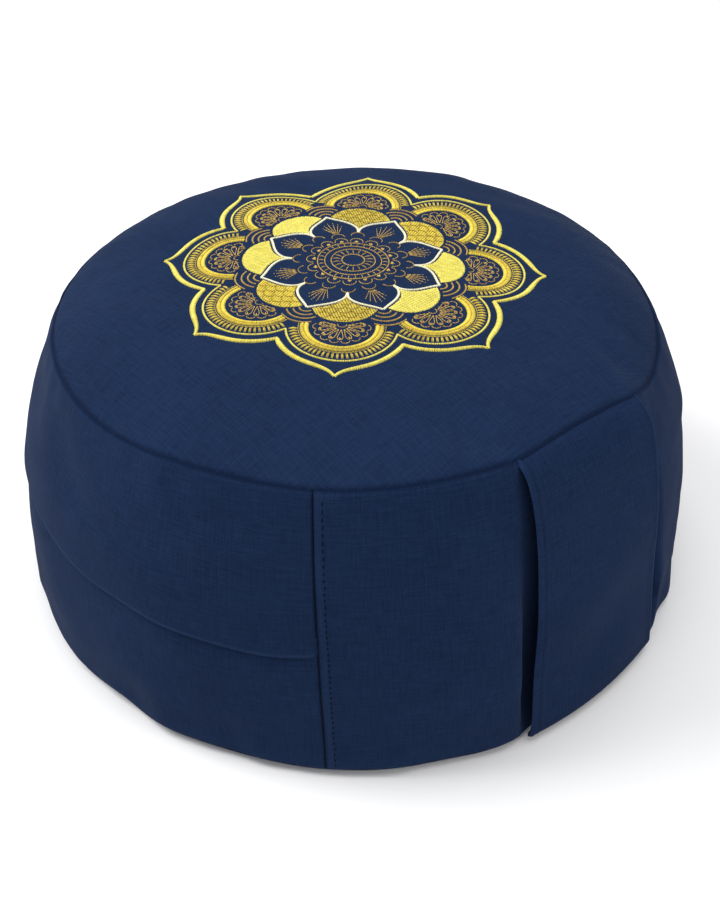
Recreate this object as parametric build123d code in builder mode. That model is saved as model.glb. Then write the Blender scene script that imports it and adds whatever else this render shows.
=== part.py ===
"""Round floor cushion: husk-filled inner bag, zipped cover, embroidered top and a wide handle.

Millimetres, +Z up. The origin is the centre of the base on the floor, and the carrying handle
stands on +X. Angles around the cushion are counted anticlockwise from +X, seen from above.
"""
from build123d import *

import os
from math import cos, radians, sin, tan

os.makedirs("parts", exist_ok=True)

# Stuffed shape of the cover
BASE_FLAT_RADIUS = 158.0
BASE_SEAM = (165.0, 5.0)
TOP_SEAM = (140.5, 138.0)
WALL_POINTS = [(164.6, 25.0), (162.9, 50.0), (158.6, 84.0), (150.5, 118.0)]
CROWN_RISE = 20.0
CROWN_POWER = 4.6
COVER = 1.0
LINER = 0.8
REACH = 230.0

# Flattened wall behind the handle, and the handle band itself
RECESS_HALF_WIDTH = 52.0
RECESS_POINTS = [(135.3, 138.0), (140.5, 122.0), (144.8, 100.0), (147.5, 75.0), (149.0, 50.0),
                 (151.0, 25.0), (157.0, 5.0)]
HANDLE_HALF_WIDTH = 38.0
HANDLE_THICK = 2.2
HANDLE_POINTS = [(137.9, 138.0), (143.6, 134.0), (149.2, 124.0), (154.6, 104.0), (157.8, 84.0),
                 (159.7, 61.0), (160.9, 37.0), (161.8, 14.0), (160.0, 3.5)]
HEM_INSET = 3.0
THREAD = 0.3

# Side wall seams and the concealed zip, whose half of the wall runs from SEAM_ANGLE backwards
SEAM_ANGLE = -48.0
ZIP_START = SEAM_ANGLE - 3.0
ZIP_END = SEAM_ANGLE - 177.0
ZIP_HEIGHT = 90.0
LAP_EDGE = 74.0
POCKET = (73.0, 99.5)
POCKET_DEPTH = 7.2
TAPE_DEPTH = (4.9, 5.4)
FOLD_DEPTH = (3.9, 4.9)
COIL_DEPTH = (4.4, 5.8)
COIL_HALF = (0.65, 2.7)
SLIDER_ANGLE = ZIP_END + 5.0
SLIDER_HALF_ANGLE = 1.9
SLIDER_HALF_HEIGHT = 4.4
FLANGE_HALF_HEIGHT = 3.3
OUTER_PLATE = (3.35, 4.05)
INNER_PLATE = (6.1, 6.8)
FLANGE = 0.5
POST_HALF_HEIGHT = 0.35
POST_HALF_ANGLE = 0.6
BRIDGE_DEPTH = (1.25, 1.8)
BRIDGE_HALF_HEIGHT = 0.8
BRIDGE_HALF_ANGLE = 1.3
BRIDGE_SPAN_ANGLE = 0.75
TAB_DEPTH = (2.1, 2.8)
TAB_HALF_HEIGHT = 2.0
TAB_ARM_INSIDE = 0.95
TAB_ARM_ANGLE = 2.2
TAB_ANGLE = 6.8
CROSS_BAR_RADIUS = 0.3
TURN_IN = 5.4
STOP_ANGLE = 0.7
MOUTH_ANGLE = 20.0
MOUTH_EDGE = 97.4

# Embroidery
MOTIF_CENTRE = (-1.0, -1.2)
MOTIF_TURN = -2.0
PETALS = 8
PETAL_CENTRE = 54.0
PETAL_TIP = 88.0
OUTLINE_RADIUS = 28.3
OUTLINE_WIDTH = 2.2
EDGE_LINE_RADIUS = 23.8
EDGE_LINE_WIDTH = 0.9
LADDER_RADII = (18.6, 22.6)
LADDER_RUNGS = 31
RUNG_WIDTH = 0.8
ARCH_RADII = (14.3, 17.9)
LACE_RADIUS = 8.0
LACE_LOOPS = 9
LACE_LOOP_AXES = (3.3, 1.7)
FAN_RADII = (10.6, 8.0, 5.4)
FAN_GAP = 0.4
LEAF_CENTRE = 38.3
LEAF_AXES = (12.8, 14.2)
INNER_TIP = 43.7
INNER_VALLEY = 28.0
INNER_WIDTH = 1.3
INNER_GAP = 0.9
VEIN_ANGLES = (-26, -13, 0, 13, 26)
VEIN_START = 27.5
VEIN_LENGTH = 8.0
SCALLOP_RADIUS = 3.1
FIRST_SCALLOPS = 18.0
SECOND_SCALLOPS = (24.2, 22.9)
SCALLOPS_INSIDE = 17.0
RING_RADII = (16.4, 13.0, 10.1, 5.4)
SPOKES = ((14.7, 28, 3.2), (7.75, 18, 4.4))
FINE_LINE = 0.7
THREAD_LAYER = 0.6
THREAD_LIFT = 0.02
SHOULDER_ANGLE = 28.0
MOTIF_REACH = 120.0


def crown_height(radius, inset):
    """Height of the domed top at a radius, for the shape moved inwards by inset."""
    share = radius / (TOP_SEAM[0] - inset)
    return TOP_SEAM[1] - inset + CROWN_RISE * (1.0 - share ** CROWN_POWER)


def stuffed_body(inset):
    """Whole stuffed shape, moved inwards by inset, with no hollow behind the handle."""
    wall = [(BASE_SEAM[0] - inset, BASE_SEAM[1] + inset)]
    wall += [(radius - inset, height) for radius, height in WALL_POINTS]
    wall += [(TOP_SEAM[0] - inset, TOP_SEAM[1] - inset)]
    edge = TOP_SEAM[0] - inset
    shares = (1.0, 0.9, 0.75, 0.5, 0.25, 0.0)
    crown = [(edge * share, crown_height(edge * share, inset)) for share in shares]
    with BuildPart() as body:
        with BuildSketch(Plane.XZ):
            with BuildLine():
                Line((0, inset), (BASE_FLAT_RADIUS, inset))
                Spline((BASE_FLAT_RADIUS, inset), wall[0], tangents=[(1, 0), (0.3, 1)])
                Spline(wall)
                Spline(crown)
                Line((0, crown_height(0, inset)), (0, inset))
            make_face()
        revolve(axis=Axis.Z)
    return body.part


def handle_recess(inset):
    """Cutter for the flattened wall behind the handle."""
    points = [(x - inset, z) for x, z in RECESS_POINTS]
    top = points[0]
    foot = points[-1]
    with BuildPart() as cutter:
        with BuildSketch(Plane.XZ):
            with BuildLine():
                Spline(points)
                Polyline(top, (top[0] - 14.0, top[1] + 14.0), (top[0] - 14.0, REACH), (REACH, REACH),
                         (REACH, -10.0), (foot[0] - 5.0, -10.0), foot)
            make_face()
        extrude(amount=RECESS_HALF_WIDTH + inset, both=True)
    return cutter.part


def sector(start, end):
    """Tall wedge between two angles, at most half a turn apart."""
    with BuildPart() as wedge:
        with BuildSketch():
            with BuildLine():
                CenterArc((0, 0), REACH, start, end - start)
                Line((0, 0), (REACH * cos(radians(start)), REACH * sin(radians(start))))
                Line((0, 0), (REACH * cos(radians(end)), REACH * sin(radians(end))))
            make_face()
        extrude(amount=REACH)
    return wedge.part


def ring(depths, heights, angles):
    """Strip that follows the wall between two depths below its surface."""
    with BuildPart() as strip:
        add(stuffed_body(depths[0]))
        add(stuffed_body(depths[1]), mode=Mode.SUBTRACT)
        with BuildSketch(Plane.XY.offset(heights[0])):
            Circle(REACH)
        extrude(amount=heights[1] - heights[0], mode=Mode.INTERSECT)
        add(sector(*angles), mode=Mode.INTERSECT)
    return strip.part


def save(part, name):
    """Label a finished piece and write it."""
    part.label = name
    export_step(part, f"parts/{name}.step")


ZIP_HALF = (SEAM_ANGLE - 180.0, SEAM_ANGLE)
seam_plane = Plane(origin=(0, 0, 0), z_dir=(-sin(radians(SEAM_ANGLE)), cos(radians(SEAM_ANGLE)), 0))

# Cover skin, before it is parted into panels
with BuildPart() as skin:
    add(stuffed_body(0.0))
    add(handle_recess(0.0), mode=Mode.SUBTRACT)
    add(stuffed_body(COVER) - handle_recess(COVER), mode=Mode.SUBTRACT)

with BuildPart() as cover_top_panel:
    add(skin.part)
    split(bisect_by=Plane.XY.offset(TOP_SEAM[1]), keep=Keep.TOP)
save(cover_top_panel.part, "cover_top_panel")

with BuildPart() as cover_bottom_panel:
    add(skin.part)
    split(bisect_by=Plane.XY.offset(BASE_SEAM[1]), keep=Keep.BOTTOM)
save(cover_bottom_panel.part, "cover_bottom_panel")

with BuildPart() as wall:
    add(skin.part)
    split(bisect_by=Plane.XY.offset(TOP_SEAM[1]), keep=Keep.BOTTOM)
    split(bisect_by=Plane.XY.offset(BASE_SEAM[1]), keep=Keep.TOP)

with BuildPart() as wall_plain_panel:
    add(wall.part)
    split(bisect_by=seam_plane, keep=Keep.TOP)
save(wall_plain_panel.part, "wall_plain_panel")

# Zip half of the wall. The upper panel ends in a lap that folds back to the upper tape.
# The lap stops short over the parked slider, so that its pull can be reached.
with BuildPart() as wall_zip_panel_upper:
    add(wall.part)
    split(bisect_by=seam_plane, keep=Keep.BOTTOM)
    split(bisect_by=Plane.XY.offset(LAP_EDGE), keep=Keep.TOP)
    add(ring((-COVER, COVER + 0.1), (POCKET[0] - 1.0, MOUTH_EDGE), (ZIP_END, ZIP_END + MOUTH_ANGLE)),
        mode=Mode.SUBTRACT)
    add(ring((COVER, FOLD_DEPTH[1]), (POCKET[1] - COVER, POCKET[1]), (ZIP_END, ZIP_START)))
    add(ring(FOLD_DEPTH, (ZIP_HEIGHT + TURN_IN, POCKET[1] - COVER), (ZIP_END, ZIP_START)))
save(wall_zip_panel_upper.part, "wall_zip_panel_upper")

with BuildPart() as wall_zip_panel_lower:
    add(wall.part)
    split(bisect_by=seam_plane, keep=Keep.BOTTOM)
    split(bisect_by=Plane.XY.offset(LAP_EDGE), keep=Keep.BOTTOM)
    add(ring((COVER, FOLD_DEPTH[1]), (POCKET[0], LAP_EDGE), (ZIP_END, ZIP_START)))
    add(ring(FOLD_DEPTH, (LAP_EDGE, ZIP_HEIGHT - TURN_IN), (ZIP_END, ZIP_START)))
save(wall_zip_panel_lower.part, "wall_zip_panel_lower")

with BuildPart() as zip_tape_upper:
    add(ring(TAPE_DEPTH, (ZIP_HEIGHT + COIL_HALF[1], POCKET[1]), (ZIP_END, ZIP_START)))
save(zip_tape_upper.part, "zip_tape_upper")

with BuildPart() as zip_tape_lower:
    add(ring(TAPE_DEPTH, (POCKET[0], ZIP_HEIGHT - COIL_HALF[1]), (ZIP_END, ZIP_START)))
save(zip_tape_lower.part, "zip_tape_lower")

coil_angles = (ZIP_END + STOP_ANGLE, ZIP_START - STOP_ANGLE)

with BuildPart() as zip_coil_upper:
    add(ring(COIL_DEPTH, (ZIP_HEIGHT + COIL_HALF[0], ZIP_HEIGHT + COIL_HALF[1]), coil_angles))
save(zip_coil_upper.part, "zip_coil_upper")

with BuildPart() as zip_coil_lower:
    add(ring(COIL_DEPTH, (ZIP_HEIGHT - COIL_HALF[1], ZIP_HEIGHT - COIL_HALF[0]), coil_angles))
save(zip_coil_lower.part, "zip_coil_lower")

with BuildPart() as zip_end_stops:
    for angles in ((ZIP_END, coil_angles[0]), (coil_angles[1], ZIP_START)):
        add(ring(COIL_DEPTH, (ZIP_HEIGHT - COIL_HALF[1], ZIP_HEIGHT + COIL_HALF[1]), angles))
save(zip_end_stops.part, "zip_end_stops")


def slider_strip(depths, low, high, half_angle):
    """Strip of the slider, centred on its parked angle, with heights from the zip's centre line."""
    heights = (ZIP_HEIGHT + low, ZIP_HEIGHT + high)
    return ring(depths, heights, (SLIDER_ANGLE - half_angle, SLIDER_ANGLE + half_angle))


# Arched bridge of the slider, which the pull tab's cross bar turns under
under_bridge = (BRIDGE_DEPTH[1], OUTER_PLATE[0] + 0.1)
bridge_depths = (BRIDGE_DEPTH[0], OUTER_PLATE[0])
with BuildPart() as slider_bridge:
    add(slider_strip(bridge_depths, -BRIDGE_HALF_HEIGHT, BRIDGE_HALF_HEIGHT, BRIDGE_HALF_ANGLE))
    add(slider_strip(under_bridge, -1.0, 1.0, BRIDGE_SPAN_ANGLE), mode=Mode.SUBTRACT)

# Slider: two plates with flanges over the tapes, joined by a thin post between the coils
with BuildPart() as zip_slider:
    for plate in (OUTER_PLATE, INNER_PLATE):
        add(slider_strip(plate, -SLIDER_HALF_HEIGHT, SLIDER_HALF_HEIGHT, SLIDER_HALF_ANGLE))
    add(slider_strip((OUTER_PLATE[1], INNER_PLATE[0]), -POST_HALF_HEIGHT, POST_HALF_HEIGHT, POST_HALF_ANGLE))
    for low, high in ((-SLIDER_HALF_HEIGHT, -FLANGE_HALF_HEIGHT), (FLANGE_HALF_HEIGHT, SLIDER_HALF_HEIGHT)):
        add(slider_strip((OUTER_PLATE[1], OUTER_PLATE[1] + FLANGE), low, high, SLIDER_HALF_ANGLE))
        add(slider_strip((INNER_PLATE[0] - FLANGE, INNER_PLATE[0]), low, high, SLIDER_HALF_ANGLE))
    add(slider_bridge.part)
save(zip_slider.part, "zip_slider")

# Radius of the zip line on the wall's surface, for the pivot of the pull tab
pivot_ray = Edge.make_line((100.0, 0, ZIP_HEIGHT), (REACH, 0, ZIP_HEIGHT))
WALL_AT_ZIP = max(vertex.X for vertex in stuffed_body(0.0).intersect(pivot_ray).vertices())
PIVOT_RADIUS = WALL_AT_ZIP - sum(TAB_DEPTH) / 2
pivot = (PIVOT_RADIUS * cos(radians(SLIDER_ANGLE)), PIVOT_RADIUS * sin(radians(SLIDER_ANGLE)))
print("zip surface radius", round(WALL_AT_ZIP, 3))
print("pull tab pivot", [round(place, 3) for place in pivot])

with BuildPart() as zip_pull_tab:
    with BuildSketch(Plane.XY.offset(ZIP_HEIGHT - TAB_HALF_HEIGHT)):
        with Locations(pivot):
            Circle(CROSS_BAR_RADIUS)
    extrude(amount=2 * TAB_HALF_HEIGHT)
    for low, high in ((-TAB_HALF_HEIGHT, -TAB_ARM_INSIDE), (TAB_ARM_INSIDE, TAB_HALF_HEIGHT)):
        arm_angles = (SLIDER_ANGLE, SLIDER_ANGLE + TAB_ARM_ANGLE)
        add(ring(TAB_DEPTH, (ZIP_HEIGHT + low, ZIP_HEIGHT + high), arm_angles))
    tab_angles = (SLIDER_ANGLE + TAB_ARM_ANGLE - 0.1, SLIDER_ANGLE + TAB_ANGLE)
    add(ring(TAB_DEPTH, (ZIP_HEIGHT - TAB_HALF_HEIGHT, ZIP_HEIGHT + TAB_HALF_HEIGHT), tab_angles))
save(zip_pull_tab.part, "zip_pull_tab")

# Handle band, sewn into both seams, with a stitched hem along each edge
handle_inner = [(x - HANDLE_THICK, z) for x, z in HANDLE_POINTS]
with BuildPart() as carry_handle:
    with BuildSketch(Plane.XZ):
        with BuildLine():
            Spline(HANDLE_POINTS)
            Spline(handle_inner)
            Line(HANDLE_POINTS[0], handle_inner[0])
            Line(HANDLE_POINTS[-1], handle_inner[-1])
        make_face()
    extrude(amount=HANDLE_HALF_WIDTH, both=True)
save(carry_handle.part, "carry_handle")

thread_outer = [(x + THREAD, z) for x, z in HANDLE_POINTS]
with BuildPart() as handle_hem_stitching:
    for side in (-1, 1):
        with BuildSketch(Plane.XZ.offset(side * (HANDLE_HALF_WIDTH - HEM_INSET))):
            with BuildLine():
                Spline(HANDLE_POINTS)
                Spline(thread_outer)
                Line(HANDLE_POINTS[0], thread_outer[0])
                Line(HANDLE_POINTS[-1], thread_outer[-1])
            make_face()
        extrude(amount=THREAD)
save(handle_hem_stitching.part, "handle_hem_stitching")

with BuildPart() as wall_seam_stitching:
    for angle in (SEAM_ANGLE + 1.6, SEAM_ANGLE + 181.6):
        add(ring((-THREAD, 0.0), (BASE_SEAM[1] + 4, TOP_SEAM[1] - 4), (angle, angle + 0.15)))
save(wall_seam_stitching.part, "wall_seam_stitching")

# Embroidery: a thin raised layer over the top panel, cut to the plan of each motif
motif_x = (cos(radians(MOTIF_TURN)), sin(radians(MOTIF_TURN)), 0)
motif_plane = Plane(origin=(*MOTIF_CENTRE, TOP_SEAM[1]), x_dir=motif_x, z_dir=(0, 0, 1))
half_step = 180.0 / PETALS
with BuildPart() as thread_layer:
    add(stuffed_body(-THREAD_LIFT - THREAD_LAYER))
    add(stuffed_body(-THREAD_LIFT), mode=Mode.SUBTRACT)
    split(bisect_by=Plane.XY.offset(TOP_SEAM[1] + 8.0), keep=Keep.TOP)


def stitch(plan, name):
    """Save the part of the thread layer that stands over a plan sketch."""
    with BuildPart() as motif:
        add(extrude(plan, amount=40.0, mode=Mode.PRIVATE))
        add(thread_layer.part, mode=Mode.INTERSECT)
    save(motif.part, name)


def petal_face(grow):
    """One pointed outer petal about the +X axis, as a face in the motif plane."""
    radius = OUTLINE_RADIUS + grow
    shoulder = (cos(radians(SHOULDER_ANGLE)), sin(radians(SHOULDER_ANGLE)))
    start = (PETAL_CENTRE + radius * shoulder[0], radius * shoulder[1])
    tip = (PETAL_TIP + 1.3 * grow, 0)
    with BuildSketch() as face:
        with BuildLine():
            Line((PETAL_CENTRE, 0), start)
            Spline(start, tip, tangents=[(shoulder[1], -shoulder[0]), (1, -0.45)])
            Line(tip, (PETAL_CENTRE, 0))
        make_face()
        mirror(about=Plane.XZ)
        with Locations((PETAL_CENTRE, 0)):
            Circle(radius)
    return face.sketch


def turned(face, count=PETALS, start=0.0):
    """A face repeated around the motif's centre, in the motif plane."""
    with BuildSketch(motif_plane) as pattern:
        with PolarLocations(0, count, start_angle=start):
            add(face)
    return pattern.sketch


def annulus(centre, inner, outer):
    """Flat ring with its centre on the +X axis."""
    with BuildSketch() as face:
        with Locations((centre, 0)):
            Circle(outer)
            Circle(inner, mode=Mode.SUBTRACT)
    return face.sketch


def clipped(face, low, high):
    """The part of a face that lies between two radii about the motif's centre, within its own petal."""
    with BuildSketch() as part:
        add(face)
        Circle(low, mode=Mode.SUBTRACT)
        Circle(high, mode=Mode.INTERSECT)
        with BuildSketch(mode=Mode.INTERSECT):
            spread = MOTIF_REACH * tan(radians(half_step - 0.4))
            Polygon((0, 0), (MOTIF_REACH, -spread), (MOTIF_REACH, spread), align=None)
    return part.sketch


with BuildSketch() as petals_outside:
    with PolarLocations(0, PETALS):
        add(petal_face(OUTLINE_WIDTH / 2))
with BuildSketch() as petals_inside:
    with PolarLocations(0, PETALS):
        add(petal_face(-OUTLINE_WIDTH / 2))
    Circle(PETAL_CENTRE)
outline = petals_outside.sketch - petals_inside.sketch
with BuildSketch(motif_plane) as outline_plan:
    add(outline)
stitch(outline_plan.sketch, "embroidery_petal_outlines")

arch = clipped(annulus(PETAL_CENTRE, *ARCH_RADII), 52.5, 90.0)
stitch(turned(arch), "embroidery_petal_arches")

edge_radii = (EDGE_LINE_RADIUS - EDGE_LINE_WIDTH / 2, EDGE_LINE_RADIUS + EDGE_LINE_WIDTH / 2)
edge_line = clipped(annulus(PETAL_CENTRE, *edge_radii), 60.0, 90.0)
stitch(turned(edge_line), "embroidery_petal_edge_lines")

with BuildSketch() as rungs:
    with Locations((PETAL_CENTRE, 0)):
        with PolarLocations(sum(LADDER_RADII) / 2, LADDER_RUNGS, start_angle=-96, angular_range=192):
            Rectangle(LADDER_RADII[1] - LADDER_RADII[0], RUNG_WIDTH)
stitch(turned(clipped(rungs.sketch, 58.0, 90.0)), "embroidery_petal_ladders")

with BuildSketch() as lace:
    with Locations((PETAL_CENTRE, 0)):
        with PolarLocations(LACE_RADIUS, LACE_LOOPS, start_angle=-88, angular_range=176):
            Ellipse(*LACE_LOOP_AXES)
            Ellipse(LACE_LOOP_AXES[0] - 0.6, LACE_LOOP_AXES[1] - 0.6, mode=Mode.SUBTRACT)
stitch(turned(lace.sketch), "embroidery_lace_loops")

# Nested bows about each inner petal's tip, kept clear of the arches on both sides
with BuildSketch() as fans:
    for radius in FAN_RADII:
        with Locations((INNER_TIP, 0)):
            Circle(radius + FINE_LINE / 2)
            Circle(radius - FINE_LINE / 2, mode=Mode.SUBTRACT)
    with BuildSketch(mode=Mode.INTERSECT):
        Polygon((INNER_TIP - 2, 0), (INNER_TIP + 16, -7), (INNER_TIP + 16, 7), align=None)
    with PolarLocations(PETAL_CENTRE, 2, start_angle=-half_step, angular_range=4 * half_step):
        Circle(ARCH_RADII[1] + FAN_GAP, mode=Mode.SUBTRACT)
stitch(turned(fans.sketch, start=half_step), "embroidery_corner_fans")


def inner_flower(grow):
    """Outline of the ring of small pointed petals around the rosette, filled, as one face."""
    valley = INNER_VALLEY + 1.1 * grow
    side = (valley * cos(radians(half_step)), valley * sin(radians(half_step)))
    belly = (INNER_TIP - 6.7 + 0.6 * grow, 7.6 + grow)
    tip = (INNER_TIP + 1.5 * grow, 0)
    with BuildSketch() as petal:
        with BuildLine():
            ThreePointArc(tip, belly, side)
            Line(side, (0, 0))
            Line((0, 0), tip)
        make_face()
        mirror(about=Plane.XZ)
    with BuildSketch() as flower:
        with PolarLocations(0, PETALS, start_angle=half_step):
            add(petal.sketch)
    return flower.sketch


with BuildSketch(motif_plane) as inner_plan:
    add(inner_flower(INNER_WIDTH / 2))
    add(inner_flower(-INNER_WIDTH / 2), mode=Mode.SUBTRACT)
stitch(inner_plan.sketch, "embroidery_inner_petals")

# Leaves stand in pairs, two plain and two scaled in turn
leaf_spread = MOTIF_REACH * tan(radians(half_step - 1.5))
with BuildSketch() as leaf:
    with Locations((LEAF_CENTRE, 0)):
        Ellipse(*LEAF_AXES)
    Polygon((0, 0), (MOTIF_REACH, -leaf_spread), (MOTIF_REACH, leaf_spread), align=None, mode=Mode.INTERSECT)
for name, first in (("embroidery_plain_leaves", 0), ("embroidery_scale_leaves", 2)):
    with BuildSketch() as leaves:
        for petal in (first, first + 1, first + 4, first + 5):
            with Locations(Rotation(0, 0, 2 * half_step * petal)):
                add(leaf.sketch)
        add(inner_flower(INNER_WIDTH / 2 + INNER_GAP), mode=Mode.SUBTRACT)
    with BuildSketch(motif_plane) as leaf_plan:
        add(leaves.sketch)
    stitch(leaf_plan.sketch, name)

with BuildSketch() as veins:
    for angle in VEIN_ANGLES:
        with Locations(Location((VEIN_START, 0), angle)):
            with Locations((VEIN_LENGTH / 2, 0)):
                Rectangle(VEIN_LENGTH, FINE_LINE)
stitch(turned(veins.sketch, start=half_step), "embroidery_petal_veins")

# Two rows of scallops around the rosette, the outer row alternately further out and nearer
scallop_rows = [(FIRST_SCALLOPS, 2 * PETALS, 0.0), (SECOND_SCALLOPS[0], PETALS, 0.0),
                (SECOND_SCALLOPS[1], PETALS, half_step)]
with BuildSketch() as scallops:
    for radius, count, turn in scallop_rows:
        with PolarLocations(radius, count, start_angle=turn):
            Circle(SCALLOP_RADIUS)
    for radius, count, turn in scallop_rows:
        with PolarLocations(radius, count, start_angle=turn):
            Circle(SCALLOP_RADIUS - FINE_LINE, mode=Mode.SUBTRACT)
    Circle(SCALLOPS_INSIDE, mode=Mode.SUBTRACT)
with BuildSketch(motif_plane) as scallop_plan:
    add(scallops.sketch)
stitch(scallop_plan.sketch, "embroidery_rosette_scallops")

with BuildSketch() as rings:
    for radius in RING_RADII:
        Circle(radius + FINE_LINE / 2)
        Circle(radius - FINE_LINE / 2, mode=Mode.SUBTRACT)
    for radius, count, length in SPOKES:
        with PolarLocations(radius, count):
            Rectangle(length, FINE_LINE)
with BuildSketch(motif_plane) as ring_plan:
    add(rings.sketch)
stitch(ring_plan.sketch, "embroidery_rosette_rings")

# Inner bag and filling, hollowed where the zip's pocket stands in
pocket = ring((COVER - 0.1, POCKET_DEPTH), POCKET, (ZIP_END, ZIP_START))
deep_heights = (POCKET[0] - LINER, POCKET[1] + LINER)
deep_pocket = ring((COVER - 0.1, POCKET_DEPTH + LINER), deep_heights, (ZIP_END - 0.3, ZIP_START + 0.3))
with BuildPart() as husk_filling:
    add(stuffed_body(COVER + LINER))
    add(handle_recess(COVER + LINER), mode=Mode.SUBTRACT)
    add(deep_pocket, mode=Mode.SUBTRACT)
save(husk_filling.part, "husk_filling")

with BuildPart() as liner:
    add(stuffed_body(COVER))
    add(handle_recess(COVER), mode=Mode.SUBTRACT)
    add(pocket, mode=Mode.SUBTRACT)
    add(husk_filling.part, mode=Mode.SUBTRACT)

liner_top = Plane.XY.offset(TOP_SEAM[1] - COVER)
liner_base = Plane.XY.offset(BASE_SEAM[1] + COVER)
with BuildPart() as liner_top_panel:
    add(liner.part)
    split(bisect_by=liner_top, keep=Keep.TOP)
save(liner_top_panel.part, "liner_top_panel")

with BuildPart() as liner_wall_panel:
    add(liner.part)
    split(bisect_by=liner_top, keep=Keep.BOTTOM)
    split(bisect_by=liner_base, keep=Keep.TOP)
save(liner_wall_panel.part, "liner_wall_panel")

with BuildPart() as liner_bottom_panel:
    add(liner.part)
    split(bisect_by=liner_base, keep=Keep.BOTTOM)
save(liner_bottom_panel.part, "liner_bottom_panel")
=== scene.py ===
"""Round husk-filled floor cushion: navy canvas cover, embroidered crown, hidden zip and a wide handle.

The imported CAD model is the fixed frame. Soft pieces are rebuilt here over it: the cover's panels,
the handle band, the inner bag, the husks and every stitch of the embroidery. Sizes are in
millimetres and turned to metres where a mesh is made. Angles run anticlockwise from +X.
"""

import logging
import math
from dataclasses import dataclass
from enum import Enum
from typing import Any, Callable

import bpy
import numpy as np
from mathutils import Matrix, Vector


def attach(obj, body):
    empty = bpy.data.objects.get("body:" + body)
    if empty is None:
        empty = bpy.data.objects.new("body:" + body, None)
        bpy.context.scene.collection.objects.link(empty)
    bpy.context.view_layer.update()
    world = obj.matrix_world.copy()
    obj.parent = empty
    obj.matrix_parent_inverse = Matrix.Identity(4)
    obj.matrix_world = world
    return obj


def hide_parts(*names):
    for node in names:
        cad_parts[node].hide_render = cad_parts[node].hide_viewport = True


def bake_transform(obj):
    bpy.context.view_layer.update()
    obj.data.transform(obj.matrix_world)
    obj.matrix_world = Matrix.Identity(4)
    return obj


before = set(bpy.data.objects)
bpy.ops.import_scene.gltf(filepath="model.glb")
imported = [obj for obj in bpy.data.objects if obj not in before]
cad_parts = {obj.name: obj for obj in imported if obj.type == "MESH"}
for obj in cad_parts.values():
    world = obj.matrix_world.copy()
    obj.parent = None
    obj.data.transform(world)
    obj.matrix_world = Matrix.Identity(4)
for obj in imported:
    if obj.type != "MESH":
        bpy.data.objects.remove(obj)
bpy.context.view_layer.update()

MM = 0.001
# Length along the wall of one degree of turn, in millimetres
PER_DEGREE = 2.8
log = logging.getLogger("cushion")


class Body(Enum):
    """The CAD bodies that pieces ride on."""

    CUSHION = "cushion"
    HANDLE = "handle"


# ---------------------------------------------------------------- small helpers


def linear(hex_colour: str) -> tuple[float, float, float, float]:
    """Turn an sRGB hex colour into linear red, green, blue and alpha.

    Args:
        hex_colour: Six hex digits, with or without a leading hash.

    Returns:
        The linear colour with alpha 1.
    """
    digits = hex_colour.lstrip("#")
    channels = [int(digits[i:i + 2], 16) / 255 for i in (0, 2, 4)]
    return (*[c / 12.92 if c <= 0.04045 else ((c + 0.055) / 1.055) ** 2.4 for c in channels], 1.0)


def add_node(
    tree: bpy.types.NodeTree,
    kind: str,
    settings: dict[str, Any] | None = None,
    inputs: dict[str | int, Any] | None = None,
) -> bpy.types.Node:
    """Add one shader node with its settings, values and links.

    Args:
        tree: The material's node tree.
        kind: Node type name.
        settings: Attributes to set on the node.
        inputs: Values, or sockets to link from, by input name or number.

    Returns:
        The new node.
    """
    node = tree.nodes.new(kind)
    for key, value in (settings or {}).items():
        setattr(node, key, value)
    for key, value in (inputs or {}).items():
        if isinstance(value, bpy.types.NodeSocket):
            tree.links.new(value, node.inputs[key])
        else:
            node.inputs[key].default_value = value
    return node


def new_material(name: str) -> tuple[bpy.types.Material, bpy.types.NodeTree]:
    """Start a material with an empty node tree."""
    made = bpy.data.materials.new(name)
    made.use_nodes = True
    made.node_tree.nodes.clear()
    return made, made.node_tree


def crowded(share: np.ndarray) -> np.ndarray:
    """Move evenly spaced shares towards both ends, where the seams need close rows."""
    return 0.35 * share + 0.65 * (0.5 - 0.5 * np.cos(np.pi * share))


def turned_from(angle: np.ndarray, middle: float) -> np.ndarray:
    """Signed turn from a middle angle, from -180 to 180 degrees."""
    return (angle - middle + 180.0) % 360.0 - 180.0


def drawn_to_seams(angle: np.ndarray, first: float, last: float) -> np.ndarray:
    """Move evenly spaced angles towards the upright seams at both ends of a panel."""
    return first + (last - first) * crowded((angle - first) / (last - first))


def smooth_step(value: np.ndarray) -> np.ndarray:
    """Ease a value from 0 to 1, clamped outside that range."""
    share = np.clip(value, 0.0, 1.0)
    return share * share * (3.0 - 2.0 * share)


def through(points: list[tuple[float, float]], at: np.ndarray) -> np.ndarray:
    """Read a smooth curve through a few points.

    Args:
        points: (position, value) pairs in rising order of position.
        at: Positions to read.

    Returns:
        The curve's values.
    """
    x, y = np.array(points, float).T
    slope = np.gradient(y, x)
    left = np.clip(np.searchsorted(x, at) - 1, 0, len(x) - 2)
    width = x[left + 1] - x[left]
    t = np.clip((at - x[left]) / width, 0.0, 1.0)
    return (
        y[left] * (2 * t**3 - 3 * t**2 + 1)
        + slope[left] * width * (t**3 - 2 * t**2 + t)
        + y[left + 1] * (3 * t**2 - 2 * t**3)
        + slope[left + 1] * width * (t**3 - t**2)
    )


def around(points: list[tuple[float, float]], angle: np.ndarray) -> np.ndarray:
    """Read a smooth closed curve of angle through a few points, in degrees from -180 to 180."""
    looped = [(a - 360, v) for a, v in points] + points + [(a + 360, v) for a, v in points]
    return through(looped, turned_from(angle, 0.0))


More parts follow.
